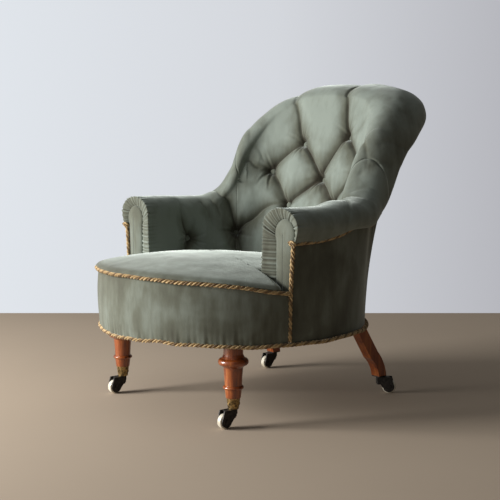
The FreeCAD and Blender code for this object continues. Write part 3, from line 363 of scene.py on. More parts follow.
SINGLE_PLEATS = [
    (("top_left", (11.5, 3.6), (9, 4.4), (5.8, 6.2), (6.4, 8.4), (8, 10.4)), 1.15, 0.2, 1),
    (("top_right", (-18, 3.4), (-21.5, 4.25), (-23.5, 5.8), (-24.5, 8.4)), 1.15, 0.15, 1),
    (("side_right", (-34, 2.75), (-39.5, 3.2), (-46.5, 4.6)), 0.7, 0.08, 1),
    (("side_right", (-34.8, 3.0), (-38.5, 3.7)), 0.45, 0.08, 1),
    (("top_left", (20.5, 3.2), (25.5, 3.5), (30, 4.4)), 0.45, 0.06, 1),
    (("side_left", (37, 3.6), (43, 5.4), (48.5, 7.1)), 0.7, 0.2, 1),
    (((50, 6.6), (48.4, 7.9), (45.2, 9.6)), 0.22, 0.16, 1),
    (((45.5, 7.8), (42, 9.2), (38, 10.8)), 0.2, 0.16, -1),
    (((56, 6.4), (54.2, 7.5), (53, 8.8)), 0.22, 0.14, -1),
    (((60, 5.6), (66, 6.8), (75, 8.4), (79.5, 9.8)), 0.2, 0.2, 1),
    (((-84, 4.9), (-79, 3.6), (-74, 2.9)), 0.2, 0.1, 1),
    (((-70, 5.2), (-66.5, 3.8), (-63, 2.8)), 0.3, 0.1, -1),
    (((-63, 5.0), (-59.5, 3.6), (-56.5, 2.6)), 0.3, 0.1, -1),
]

SAMPLE_STEP = 3.0


def laid_pleat(places):
    """Evenly spaced points along a pleat that is laid on the tub."""
    line = np.array([spots[p] if isinstance(p, str) else p for p in places], float)
    path = spline_at(line, np.linspace(0, len(line) - 1, 40 * (len(line) - 1) + 1))
    laid = np.array([tub_points([turn], [knot])[0][0] for turn, knot in path])
    return resampled(laid, SAMPLE_STEP, 4, 0)[0]


def all_pleats():
    """Every pleat as its points, its strength at each end and its flap side."""
    pleats = []
    for places, first, last, flap in PAIRED_PLEATS:
        pleats.append((laid_pleat(places), first, last, flap))
        turned = tuple(other_side(p) if isinstance(p, str) else (-p[0], p[1]) for p in places)
        pleats.append((laid_pleat(turned), first, last, -flap))
    for places, first, last, flap in SINGLE_PLEATS:
        pleats.append((laid_pleat(places), first, last, flap))
    return pleats


pleats = all_pleats()
button_points = {name: tub_points([spot[0]], [spot[1]])[0][0] for name, spot in spots.items()}

PLUMPNESS = 9
CREASE_DEPTH = 9
FLAP_WIDTH = 2.8
UNDER_WIDTH = 8.5
SINK_DEPTH = 15
SINK_WIDTH = 30
PLEAT_REACH = 85
POINTS_AT_ONCE = 4000
WELL_DEPTH = 10
WELL_WIDTH = 15
WRINKLE_REACH = 90
WRINKLE_BEND = 0.0025


def pleat_sink(points, normals, pleat):
    """How deep one pleat draws each point in."""
    line, first, last, flap = pleat
    low = line.min(axis=0) - PLEAT_REACH
    high = line.max(axis=0) + PLEAT_REACH
    near = np.flatnonzero(((points > low) & (points < high)).all(axis=1))
    sink = np.zeros(len(points))
    for part in np.array_split(near, max(1, len(near) // POINTS_AT_ONCE)):
        start, run = line[:-1], np.diff(line, axis=0)
        away = points[part][:, None] - start[None]
        share = np.clip((away * run).sum(axis=2) / (run ** 2).sum(axis=1), 0, 1)
        rest = away - share[..., None] * run
        distance = np.linalg.norm(rest, axis=2)
        k = distance.argmin(axis=1)
        rows = np.arange(len(part))
        distance = distance[rows, k]
        along = (k + share[rows, k]) / len(run)
        side = np.einsum("ij,ij->i", np.cross(normals[part], run[k]), rest[rows, k]) * flap
        width = np.where(side > 0, FLAP_WIDTH, UNDER_WIDTH)
        strength = first + (last - first) * along ** 0.8
        crease = CREASE_DEPTH * np.exp(-((distance / width) ** 1.15))
        sink[part] = strength * (crease + SINK_DEPTH * np.exp(-((distance / SINK_WIDTH) ** 1.6)))
    return sink


def button_rays():
    """Short wrinkles round each button: their angles, lengths, depths and widths."""
    rng = random.Random(7)
    rays = {}
    for name in button_points:
        count = rng.randint(9, 12)
        turns = [2 * math.pi * (k + rng.uniform(-0.3, 0.3)) / count for k in range(count)]
        rays[name] = [
            (turn, rng.uniform(34, 68), rng.uniform(1.8, 3.9), rng.uniform(3.0, 4.6)) for turn in turns
        ]
    return rays


rays_of = button_rays()
UP = np.array([0, 0, 1.0])


def tuft(points, normals):
    """How far each point of the tub stands out along its normal, in millimetres."""
    flat = points.reshape(-1, 3)
    around = normals.reshape(-1, 3)
    sinks = np.array([pleat_sink(flat, around, pleat) for pleat in pleats])
    lift = PLUMPNESS - (sinks ** 4).sum(axis=0) ** 0.25
    for name, button in button_points.items():
        away = flat - button
        near = np.flatnonzero(np.linalg.norm(away, axis=1) < WRINKLE_REACH)
        sideways = unit(np.cross(around[near], UP))
        across = np.einsum("ij,ij->i", away[near], sideways)
        upward = away[near] @ UP
        reach = np.hypot(across, upward)
        lift[near] -= WELL_DEPTH * np.exp(-((reach / WELL_WIDTH) ** 2))
        for turn, length, depth, width in rays_of[name]:
            along = across * math.cos(turn) + upward * math.sin(turn)
            off = upward * math.cos(turn) - across * math.sin(turn) + WRINKLE_BEND * along ** 2
            fade = np.clip(along / 12, 0, 1) * np.clip(1 - along / length, 0, 1)
            ridge = 0.7 * np.exp(-(((off - 1.4 * width) / width) ** 2))
            lift[near] += depth * fade * (ridge - np.exp(-((off / width) ** 2)))
    return lift.reshape(points.shape[:2])


def wander(points, scale, seed):
    """Smooth noise between -1 and 1 at each point."""
    flat = points.reshape(-1, 3) / scale + seed
    values = np.array([noise.noise(Vector(p)) for p in flat])
    return values.reshape(points.shape[:2])


def painted_fold_shade(lift):
    """Painted shade for the velvet: dark in the pleats and wells, paler on the crests as a painted
    sheen.
    """
    return np.clip((lift + 1.5) / 9, -1.6, 1)


def stuffed(turns, knots):
    """The tufted face of the tub over a range of turns."""
    base = tub_points(turns, knots)
    normals = grid_normals(base)
    if turns[-1] < turns[0]:
        normals = -normals
    lift = tuft(base, normals)
    lift += 1.3 * wander(base, 55, 3.1) + 0.5 * wander(base, 19, 8.4)
    return base, normals, lift


# Finishes

class Finish:
    """A material with one main shader, and short ways to add and join its nodes."""

    def __init__(self, name, **plain):
        self.material = bpy.data.materials.new(name)
        self.material.use_nodes = True
        self.tree = self.material.node_tree
        self.shader = self.tree.nodes["Principled BSDF"]
        for socket, value in plain.items():
            self.shader.inputs[socket.replace("_", " ")].default_value = value

    def add(self, kind, **inputs):
        """A node with some of its inputs set or joined."""
        return add_node(self.tree, kind, **inputs)

    def join(self, output, socket):
        """Join an output to the main shader."""
        self.tree.links.new(output, self.shader.inputs[socket])


def put(tree, socket, value):
    """Give a socket a plain value or another node's output."""
    if isinstance(value, bpy.types.NodeSocket):
        tree.links.new(value, socket)
    else:
        socket.default_value = value


def add_node(tree, kind, **inputs):
    """A node whose inputs are values or other nodes' outputs; lower-case names are its settings."""
    node = tree.nodes.new(f"ShaderNode{kind}")
    for name, value in inputs.items():
        if name.islower():
            setattr(node, name, value)
        else:
            put(tree, node.inputs[name.replace("_", " ")], value)
    return node


def maths(tree, operation, *values):
    """The result of one operation on plain numbers or other nodes' outputs."""
    node = add_node(tree, "Math", operation=operation)
    for socket, value in zip(node.inputs, values):
        put(tree, socket, value)
    return node.outputs["Value"]


def own_place(tree):
    """Where a point lies on its own piece."""
    return add_node(tree, "TexCoord").outputs["Object"]


def clouds(tree, place, scale, detail, **more):
    """Cloudy values between 0 and 1."""
    return add_node(tree, "TexNoise", Vector=place, Scale=scale, Detail=detail, **more).outputs["Fac"]


def blend(tree, share, first, second):
    """A value between two others."""
    return add_node(tree, "Mix", Factor=share, A=first, B=second).outputs["Result"]


def ramp(tree, factor, stops):
    """A colour ramp through pairs of position and colour."""
    node = tree.nodes.new("ShaderNodeValToRGB")
    tree.links.new(factor, node.inputs["Fac"])
    elements = node.color_ramp.elements
    while len(elements) < len(stops):
        elements.new(0.5)
    for element, (position, colour) in zip(elements, stops):
        element.position = position
        element.color = (*colour, 1)
    return node.outputs["Color"]


def group_of(name, **inputs):
    """A node group with number inputs, and what those give inside it."""
    group = bpy.data.node_groups.new(name, "ShaderNodeTree")
    for title, value in inputs.items():
        socket = group.interface.new_socket(title, in_out="INPUT", socket_type="NodeSocketFloat")
        socket.default_value = value
    return group, group.nodes.new("NodeGroupInput").outputs


def close_group(group, **outputs):
    """Give a node group its outputs."""
    for title in outputs:
        group.interface.new_socket(title, in_out="OUTPUT", socket_type="NodeSocketFloat")
    end = group.nodes.new("NodeGroupOutput")
    for title, output in outputs.items():
        group.links.new(output, end.inputs[title])
    return group


def make_nap():
    """Velvet nap: cloudy patches where the pile leans another way, brushed streaks, and the pile."""
    group, given = group_of("velvet_nap", Patch=6.5, Streak=34.0, Pile=900.0)
    place = own_place(group)
    drawn = add_node(group, "Mapping", Vector=place, Scale=(1, 1, 0.3)).outputs["Vector"]
    patch = clouds(group, place, given["Patch"], 3.0, Roughness=0.55, Distortion=0.5)
    streak = clouds(group, drawn, given["Streak"], 4.0, Roughness=0.6)
    pile = clouds(group, place, given["Pile"], 2.0, Roughness=0.7)
    return close_group(group, Shade=blend(group, 0.38, patch, streak), Height=pile)


def make_grain():
    """Wood grain along Z: long fibres, broad bands and fine pores."""
    group, given = group_of("wood_grain", Scale=60.0, Length=0.06)
    stretch = add_node(group, "CombineXYZ", X=1.0, Y=1.0, Z=given["Length"]).outputs["Vector"]
    along = add_node(group, "Mapping", Vector=own_place(group), Scale=stretch).outputs["Vector"]
    bands = clouds(group, along, given["Scale"], 4.0, Roughness=0.6, Distortion=0.8)
    fibres = clouds(group, along, 420.0, 3.0, Roughness=0.6)
    pores = clouds(group, along, 1300.0, 1.0)
    return close_group(group, Bands=bands, Fibres=fibres, Pores=pores)


def make_wear():
    """Wear and dirt: blotches and fine speckle."""
    group, given = group_of("wear", Scale=90.0)
    place = own_place(group)
    blotch = clouds(group, place, given["Scale"], 5.0, Roughness=0.65, Distortion=0.4)
    speckle = clouds(group, place, 900.0, 3.0, Roughness=0.7)
    return close_group(group, Blotch=blotch, Speckle=speckle)


def make_weave():
    """A plain weave: two sets of crossing threads."""
    group, given = group_of("weave", Threads=700.0)
    place = own_place(group)
    sets = []
    for direction in "XY":
        threads = add_node(group, "TexWave", Vector=place, Scale=given["Threads"],
                           bands_direction=direction, Distortion=1.5)
        sets.append(threads.outputs["Fac"])
    tone = clouds(group, place, 30.0, 4.0)
    return close_group(group, Height=maths(group, "MULTIPLY", *sets), Tone=tone)


nap = make_nap()
grain = make_grain()
wear = make_wear()
weave = make_weave()


def grouped(tree, group, **inputs):
    """A node group placed in a material."""
    node = tree.nodes.new("ShaderNodeGroup")
    node.node_tree = group
    for name, value in inputs.items():
        node.inputs[name].default_value = value
    return node


def bumped(finish, height, strength, distance):
    """A bump on a finish, from a height."""
    bump = finish.add("Bump", Height=height, Strength=strength, Distance=distance)
    finish.join(bump.outputs["Normal"], "Normal")


# How strongly the painted shade of the rise attribute shifts the velvet's colour
PAINTED_SHADE_SHARE = 0.2


def velvet_finish(name, dark, middle, light):
    """Cut velvet: dull face to face, with a pale sheen where the pile is seen from the side."""
    finish = Finish(
        name, Roughness=0.85, Specular_IOR_Level=0.15,
        Sheen_Weight=1.0, Sheen_Roughness=0.34, Sheen_Tint=(0.80, 0.87, 0.81, 1),
    )
    pile = grouped(finish.tree, nap)
    # The rise attribute paints shade into the colour: darker in pleats, wells and gathers, paler on
    # crests as a painted sheen.
    rise = finish.add("Attribute", attribute_name="rise").outputs["Fac"]
    nap_and_painted_shade = maths(finish.tree, "MULTIPLY_ADD", rise, PAINTED_SHADE_SHARE, pile.outputs["Shade"])
    stops = ((0.24, dark), (0.49, middle), (0.76, light))
    colour = ramp(finish.tree, nap_and_painted_shade, stops)
    finish.join(colour, "Base Color")
    bumped(finish, pile.outputs["Height"], 0.35, 0.0006)
    return finish.material


velvet = velvet_finish("velvet", (0.042, 0.037, 0.025), (0.112, 0.118, 0.090), (0.232, 0.264, 0.229))


# Cord: its strands, how they lie, and how often the threads and the strands wind round

STRANDS = 3
STRAND_SIDES = 8
STRAND_RADIUS = 2.6
STRAND_AWAY = 2.8
ROPE_TURN = 32
ROPE_STEP = 1.9
WINDS_PER_METRE = 240.0
THREADS_PER_WIND = 3


def cord_material():
    """Twisted cord: threads wound round each strand, gold on all strands but the last, a brown one."""
    finish = Finish(
        "cord", Roughness=0.62, Specular_IOR_Level=0.35, Sheen_Weight=0.3, Sheen_Roughness=0.4,
    )
    tree = finish.tree
    lie = finish.add("SeparateXYZ", Vector=finish.add("UVMap", uv_map="strand").outputs["UV"]).outputs
    wound = maths(tree, "MULTIPLY_ADD", lie["X"], WINDS_PER_METRE, lie["Y"])
    wave = maths(tree, "SINE", maths(tree, "MULTIPLY", wound, math.tau * THREADS_PER_WIND))
    raised = finish.add("MapRange", From_Min=-1.0, From_Max=1.0, Value=wave).outputs["Result"]
    place = own_place(tree)
    # Painted shade and highlight: the colour is dark in the grooves between wound threads and pale on
    # their crests, mixed with random tone.
    shade = blend(tree, 0.45, raised, clouds(tree, place, 160.0, 4.0, Roughness=0.6))
    gold_with_painted_shade = ramp(tree, shade, (
        (0.12, (0.16, 0.085, 0.028)), (0.42, (0.46, 0.29, 0.11)), (0.85, (0.80, 0.62, 0.34)),
    ))
    brown_with_painted_shade = ramp(tree, shade, (
        (0.12, (0.05, 0.028, 0.012)), (0.5, (0.20, 0.115, 0.045)), (0.9, (0.42, 0.28, 0.13)),
    ))
    last = maths(tree, "GREATER_THAN", lie["Y"], STRANDS - 1.01)
    colour = finish.add("MixRGB", Fac=last, Color1=gold_with_painted_shade, Color2=brown_with_painted_shade)
    finish.join(colour.outputs["Color"], "Base Color")
    bumped(finish, blend(tree, 0.25, raised, clouds(tree, place, 1500.0, 2.0)), 0.8, 0.0006)
    return finish.material


cord_finish = cord_material()


def wood_finish(name, colours, scale, polish):
    """Wood with its grain up the piece; polish is how glossy it is, from 0 to 1."""
    finish = Finish(name, Coat_Weight=0.8 * polish, Coat_Roughness=0.12, Specular_IOR_Level=0.45)
    figure = grouped(finish.tree, grain, Scale=scale)
    mixed = blend(finish.tree, 0.4, figure.outputs["Bands"], figure.outputs["Fibres"])
    colour = ramp(finish.tree, mixed, tuple(zip((0.34, 0.5, 0.66), colours)))
    finish.join(colour, "Base Color")
    marks = grouped(finish.tree, wear)
    rough = finish.add("MapRange", To_Min=0.62 - 0.42 * polish, To_Max=0.85 - 0.35 * polish,
                       Value=marks.outputs["Blotch"])
    finish.join(rough.outputs["Result"], "Roughness")
    bumped(finish, figure.outputs["Pores"], 0.25, 0.0003)
    return finish.material


def metal_finish(name, clean, dull, roughness, metallic=1.0, amount=(0.4, 0.62)):
    """Aged metal: clean patches between dull ones."""
    finish = Finish(name, Metallic=metallic)
    marks = grouped(finish.tree, wear, Scale=140.0)
    colour = ramp(finish.tree, marks.outputs["Blotch"], ((amount[0], dull), (amount[1], clean)))
    finish.join(colour, "Base Color")
    blotch = marks.outputs["Blotch"]
    rough = finish.add("MapRange", To_Min=roughness + 0.2, To_Max=roughness, Value=blotch)
    finish.join(rough.outputs["Result"], "Roughness")
    bumped(finish, marks.outputs["Speckle"], 0.3, 0.0004)
    return finish.material


def cloth_finish(name, dark, light, threads):
    """Plain woven cloth."""
    finish = Finish(name, Roughness=0.9, Sheen_Weight=0.1)
    cloth = grouped(finish.tree, weave, Threads=threads)
    colour = ramp(finish.tree, cloth.outputs["Tone"], ((0.35, dark), (0.65, light)))
    finish.join(colour, "Base Color")
    bumped(finish, cloth.outputs["Height"], 0.5, 0.0005)
    return finish.material


def china_finish():
    """Glazed off-white china, slightly stained."""
    finish = Finish("china", Roughness=0.22, Coat_Weight=0.5, Coat_Roughness=0.08)
    marks = grouped(finish.tree, wear, Scale=70.0)
    stops = ((0.3, (0.42, 0.36, 0.25)), (0.5, (0.74, 0.69, 0.57)))
    colour = ramp(finish.tree, marks.outputs["Blotch"], stops)
    finish.join(colour, "Base Color")
    bumped(finish, marks.outputs["Blotch"], 0.08, 0.0005)
    return finish.material


FINISHES = {
    "velvet": velvet,
    "cord": cord_finish,
    "stuffing": cloth_finish("stuffing", (0.30, 0.24, 0.17), (0.45, 0.38, 0.28), 260.0),
    "plain_cloth": cloth_finish("plain_cloth", (0.035, 0.030, 0.024), (0.065, 0.055, 0.042), 900.0),
    "twine": cloth_finish("twine", (0.36, 0.29, 0.18), (0.52, 0.44, 0.30), 1500.0),
    "frame_wood": wood_finish(
        "frame_wood", ((0.33, 0.20, 0.10), (0.45, 0.30, 0.16), (0.56, 0.39, 0.22)), 40.0, 0.1,
    ),
    "polished_wood": wood_finish(
        "polished_wood", ((0.080, 0.014, 0.003), (0.27, 0.058, 0.009), (0.43, 0.13, 0.022)), 55.0, 1.0,
    ),
    "brass": metal_finish("brass", (0.50, 0.33, 0.13), (0.085, 0.060, 0.030), 0.36),
    "brass_screws": metal_finish("brass_screws", (0.40, 0.27, 0.11), (0.10, 0.07, 0.035), 0.4),
    "dark_iron": metal_finish("dark_iron", (0.045, 0.038, 0.032), (0.016, 0.014, 0.012), 0.42, 0.6),
    "rod_iron": metal_finish("rod_iron", (0.12, 0.11, 0.10), (0.05, 0.035, 0.025), 0.5),
    "spring_steel": metal_finish("spring_steel", (0.46, 0.40, 0.34), (0.20, 0.13, 0.09), 0.35),
    "china": china_finish(),
}
SMOOTH_BELOW = math.radians(32)
node_slots = {part["node"]: part["material_slot"] for part in frame["record"]["subparts"]}
for node_name, node_object in nodes.items():
    node_object.data.materials.clear()
    node_object.data.materials.append(FINISHES[node_slots[node_name]])
    node_object.data.shade_smooth()
    bpy.context.view_layer.objects.active = node_object
    node_object.select_set(True)
    bpy.ops.object.shade_smooth_by_angle(angle=SMOOTH_BELOW)
    node_object.select_set(False)


# Inside back, and the two arms with their gathered fronts

def dress_velvet(piece, node):
    """A stuffed piece of velvet on the chair's fixed body, in the place of a plain solid."""
    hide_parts(node)
    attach(piece, "chair")
    piece.data.materials.clear()
    piece.data.materials.append(velvet)


FACING_MIDDLE = (FACING_INNER + FACING_OUTER) / 2
FACING_ARC = 33.85
FACING_ARC_HEIGHT = 458.15
FACING_ARC_START = 208.5
FACING_ARC_SWEEP = 237
FACING_TAPER = 8
FACING_DOME = 9.5


def mirror_grid(points):
    """The same grid on the other side."""
    return points * np.array([-1, 1, 1])


def facing_edge(share):
    """The facing's edge, from its inner foot over the top to its outer foot; share runs 0 to 3."""
    if share <= 1:
        return (FACING_INNER, PAD_BOTTOM + (FACING_SHOULDER - PAD_BOTTOM) * share)
    if share <= 2:
        angle = math.radians(FACING_ARC_START - FACING_ARC_SWEEP * (share - 1))
        height = FACING_ARC_HEIGHT + FACING_ARC * math.sin(angle)
        return (FACING_MIDDLE + FACING_ARC * math.cos(angle), height)
    drop = share - 2
    height = FACING_SHOULDER - (FACING_SHOULDER - PAD_BOTTOM) * drop
    return (FACING_OUTER - FACING_TAPER * drop ** 0.6, height)


GATHER_WAVES = (7.5, 9.0, 11.5, 15.0)
GATHER_HEIGHT = 1.5
GATHER_REACH = 13
BORDER_BULGE = 4.5
FRONT_COLUMNS = 16
SHOULDER_KNOT = 3.14


def gather(lengths, seed):
    """The ripple of gathered cloth along an edge."""
    rng = random.Random(seed)
    ripple = np.zeros(len(lengths))
    for wave in GATHER_WAVES:
        phase, drift = rng.uniform(0, 6.28), rng.uniform(0, 6.28)
        ripple += np.cos(2 * math.pi * lengths / wave + phase + 1.5 * np.sin(lengths / 41 + drift))
    return ripple / 2.2


def arm_face(side):
    """One arm, as if it were the left: its tufted face and gathered border, and its painted shade."""
    base, normals, lift = stuffed(turn_steps[f"arm_{side}"], knot_steps)
    if side == "right":
        base, normals = mirror_grid(base), mirror_grid(normals)
    face = base + normals * lift[..., None]
    edge = face[-1]
    target = []
    for knot, point in zip(knot_steps, edge):
        if knot <= SHOULDER_KNOT:
            x, z = FACING_INNER, min(point[2], FACING_SHOULDER)
        else:
            x, z = facing_edge(1 + (knot - SHOULDER_KNOT) / (LINE_END - SHOULDER_KNOT))
        target.append((x, -(FACING_FRONT - 4), z))
    target = np.array(target)
    columns = []
    for step in range(1, FRONT_COLUMNS + 1):
        share = step / FRONT_COLUMNS
        ease = (1 - math.cos(math.pi * share)) / 2
        column = edge + (target - edge) * ease
        column[:, 1] -= BORDER_BULGE * math.sin(math.pi * share) ** 0.8
        columns.append(column)
    whole = np.concatenate([face, np.array(columns)])
    ripple = gather(lengths_along(edge), 5)
    back_of_edge = np.clip(-whole[: len(face), :, 1], -999, ARM_FRONT) - ARM_FRONT
    weight = np.concatenate([
        np.exp(back_of_edge / GATHER_REACH),
        np.ones((FRONT_COLUMNS, len(edge))),
    ])
    whole += grid_normals(whole) * (GATHER_HEIGHT * weight * ripple[None, :])[..., None]
    # Painted shade: dark in the pleats and between the gathers, pale on their crests as a painted
    # sheen.
    rise = np.concatenate([painted_fold_shade(lift), np.zeros((FRONT_COLUMNS, len(edge)))])
    return whole, rise + 0.6 * weight * ripple[None, :]


def facing_face():
    """The domed panel of the left arm's front, as rings from its edge to its middle."""
    rings = []
    shares = np.linspace(0, 3, 120)
    edge = np.array([facing_edge(share) for share in shares])
    heights = np.clip(edge[:, 1], PAD_BOTTOM, FACING_ARC_HEIGHT)
    middle = np.stack([np.full(len(edge), FACING_MIDDLE), heights], axis=1)
    for step in np.linspace(0, 1, 12):
        flat = edge + (middle - edge) * step
        bulge = FACING_DOME * math.sqrt(1 - (1 - step) ** 2)
        depth = np.full(len(edge), -(FACING_FRONT - 5) - bulge)
        rings.append(np.stack([flat[:, 0], depth, flat[:, 1]], axis=1))
    return np.array(rings)


# Seat, front border and the outer covers

SIDE_FALL = 30
FRONT_FALL = 29
BACK_FALL = 40


def seat_height(x, y):
    """The height of the seat's top."""
    side = SIDE_FALL * (x / SEAT_SIDE) ** 2
    if y < -CROWN_FORWARD:
        length, fall = BASE_RADIUS - CROWN_FORWARD, FRONT_FALL
    else:
        length, fall = SEAT_BACK + CROWN_FORWARD, BACK_FALL
    return CROWN_HEIGHT - side - fall * ((y + CROWN_FORWARD) / length) ** 2


SEAT_CENTRE = -60
SEAT_RADIUS = 347
SEAT_RAYS = 360
SEAT_RINGS = 64
SEAT_LAP = 6


def seat_reach(angle):
    """How far the seat reaches from its middle in one direction."""
    dx, dy = math.sin(angle), math.cos(angle)
    low, high = 0, 500
    for _ in range(30):
        reach = (low + high) / 2
        x, y = reach * dx, SEAT_CENTRE + reach * dy
        if y < -SEAT_NOTCH:
            inside = math.hypot(x, y) < SEAT_RADIUS
        elif y < 0:
            inside = abs(x) < SEAT_SIDE + SEAT_LAP
        else:
            inside = math.hypot(x / (SEAT_SIDE + SEAT_LAP), y / (SEAT_BACK + SEAT_LAP)) < 1
        low, high = (reach, high) if inside else (low, reach)
    return low


def seat_grid():
    """The seat's top, from its middle out to the rope and the walls, with its edge turned down."""
    angles = np.linspace(0, 2 * math.pi, SEAT_RAYS, endpoint=False)
    reaches = np.array([seat_reach(angle) for angle in angles])
    shares = 1 - (1 - np.linspace(0.01, 1, SEAT_RINGS)) ** 1.6
    grid = np.zeros((SEAT_RAYS, SEAT_RINGS, 3))
    for i, (angle, reach) in enumerate(zip(angles, reaches)):
        for j, share in enumerate(shares):
            x = share * reach * math.sin(angle)
            y = SEAT_CENTRE + share * reach * math.cos(angle)
            left = reach * (1 - share)
            front = y < -SEAT_NOTCH
            tuck = 5 * math.exp(-left / 4) if front else 26 * math.exp(-((left / 13) ** 1.3))
            grid[i, j] = (x, y, seat_height(x, y) - tuck)
    grid[..., 2] += 2.2 * wander(grid, 120, 2.2) + 0.6 * wander(grid, 34, 5.5)
    return grid


def fan_cloth(name, grid, thickness):
    """A round piece of cloth from rays and rings, closed in the middle."""
    rays, rings = grid.shape[:2]
    middle = grid[:, 0].mean(axis=0)
    vertices = np.concatenate([grid.reshape(-1, 3), middle[None]])
    faces = grid_faces(rays, rings, wrap_rows=True, flip=True)
    last = len(vertices) - 1
    faces += [(last, i * rings, (i + 1) % rays * rings)[::-1] for i in range(rays)]
    piece = new_object(name, metres(vertices), faces)
    apply_modifier(piece, "SOLIDIFY", thickness=thickness * MM, offset=-1)
    return piece


BORDER_TURN = 73.4
BORDER_BELLY = 4.0
PUCKER_WAVES = (23, 37, 59, 14)
PUCKER_HEIGHT = 1.6


def foot_tuck(angle):
    """How far the foot of the border draws in, at an angle in radians from the back."""
    return FOOT_TUCK * max(0.0, -math.cos(angle)) ** 0.7


def border_grid():
    """The band round the front, with a soft belly and small puckers along its foot."""
    turns = np.radians(np.linspace(-BORDER_TURN, BORDER_TURN, 300))
    shares = np.linspace(0, 1, 44)
    grid = np.zeros((len(turns), len(shares), 3))
    rng = random.Random(11)
    phases = [rng.uniform(0, 6.28) for _ in PUCKER_WAVES]
    for i, turn in enumerate(turns):
        x, y = BASE_RADIUS * math.sin(turn), -BASE_RADIUS * math.cos(turn)
        top = seat_height(x, y) - 4
        foot = BASE_HEIGHT + 1
        run = BASE_RADIUS * turn
        waves = zip(PUCKER_WAVES, phases)
        pucker = sum(math.cos(2 * math.pi * run / wave + phase) for wave, phase in waves) / 2.5
        for j, share in enumerate(shares):
            height = foot + (top - foot) * share
            belly = BORDER_BELLY * math.sin(math.pi * min(1, share * 1.02)) ** 0.7
            tuck = 0.3 * foot_tuck(math.pi - turn) * math.exp(-share * 4)
            radius = COVER_OUTER - 0.4 + belly - tuck + PUCKER_HEIGHT * pucker * math.exp(-share * 8)
            grid[i, j] = (radius * math.sin(turn), -radius * math.cos(turn), height)
    normals = grid_normals(grid)
    lift = 1.0 * wander(grid, 70, 4.4)
    fade = np.sin(np.pi * shares) ** 0.5
    return grid - normals * (lift * fade[None, :])[..., None] * np.sign(normals[150, 20, 1])


def cover_grid(turns, rows=60):
    """The outer cover over a range of turns, from the base rope to the rope under the roll."""
    grid = []
    for turn in turns:
        station = Station(turn)
        heights = np.linspace(BASE_HEIGHT + 2, station.lip_height + 1, rows)
        reaches = [station.outside(max(COVER_FOOT, height)) for height in heights]
        grid.append([station.place(reach, height) for reach, height in zip(reaches, heights)])
    grid = np.array(grid)
    shares = np.linspace(0, 1, rows)
    fade = np.sin(np.pi * shares) ** 0.6
    normals = grid_normals(grid)
    drawn = 1.2 * wander(grid * np.array([1, 1, 0.35]), 48, 9.1) + 1.4 * wander(grid, 130, 1.7)
    return grid + normals * ((drawn - 0.6) * fade[None, :])[..., None]


# Ropes

def rope(name, line, node=None, closed=False):
    """Twisted strands along a line, each strand with its own lengthwise map."""
    path, lengths = resampled(line, ROPE_STEP)
    total = lengths[-1]
    if closed:
        path, lengths = path[:-1], lengths[:-1]
    tangents = np.gradient(path, axis=0)
    if closed:
        tangents = np.roll(path, -1, axis=0) - np.roll(path, 1, axis=0)
    tangents = unit(tangents)
    up = np.array([0, 0, 1.0]) if abs(tangents[:, 2]).max() < 0.9 else np.array([0.3, 1.0, 0])
    side = unit(np.cross(tangents, up))
    over = np.cross(side, tangents)
    turns = max(1, round(total / ROPE_TURN))
    twist = 2 * math.pi * turns * lengths / total
    vertices = []
    for strand in range(STRANDS):
        angle = twist + 2 * math.pi * strand / STRANDS
        out = side * np.cos(angle)[:, None] + over * np.sin(angle)[:, None]
        centre = path + out * STRAND_AWAY
        for ring in range(STRAND_SIDES):
            turn = 2 * math.pi * ring / STRAND_SIDES + angle
            round_out = side * np.cos(turn)[:, None] + over * np.sin(turn)[:, None]
            vertices.append(centre + round_out * STRAND_RADIUS)
    block = np.array(vertices).reshape(STRANDS, STRAND_SIDES, len(path), 3).transpose(0, 2, 1, 3)
    count = len(path)
    quads = []
    for strand in range(STRANDS):
        offset = strand * count * STRAND_SIDES
        rows = grid_faces(count, STRAND_SIDES, wrap_rows=closed, wrap_columns=True, flip=True)
        quads += [tuple(v + offset for v in quad) for quad in rows]
        if not closed:
            end = offset + (count - 1) * STRAND_SIDES
            quads.append(tuple(offset + k for k in range(STRAND_SIDES)))
            quads.append(tuple(end + k for k in reversed(range(STRAND_SIDES))))
    piece = new_object(name, metres(block.reshape(-1, 3)), quads)
    layer = piece.data.uv_layers.new(name="strand")
    where = np.zeros((len(piece.data.loops), 2))
    indices = np.zeros(len(piece.data.loops), int)
    piece.data.loops.foreach_get("vertex_index", indices)
    along = np.tile(np.repeat(lengths, STRAND_SIDES), STRANDS)
    around = np.tile(np.tile(np.arange(STRAND_SIDES), count), STRANDS) / STRAND_SIDES
    around += np.repeat(np.arange(STRANDS), count * STRAND_SIDES)
    where[:, 0] = along[indices] * MM
    where[:, 1] = around[indices]
    layer.data.foreach_set("uv", where.ravel())
    if node:
        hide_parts(node)
    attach(piece, "chair")
    piece.data.materials.append(cord_finish)


def rope_knot(name, middle, size):
    """A small knot where two cords meet: a loop that crosses over itself."""
    line = []
    for turn in np.linspace(0, 1.45 * 2 * math.pi, 60):
        forward = -4 - 3 * math.cos(0.7 * turn)
        loop = np.array([size * math.cos(turn), forward, 0.75 * size * math.sin(turn)])
        line.append(middle + loop)
    rope(name, line)


# The pieces

COVER_THICKNESS = 2.5
back_base, back_normals, back_lift = stuffed(turn_steps["back"], knot_steps)
back_face = back_base + back_normals * back_lift[..., None]
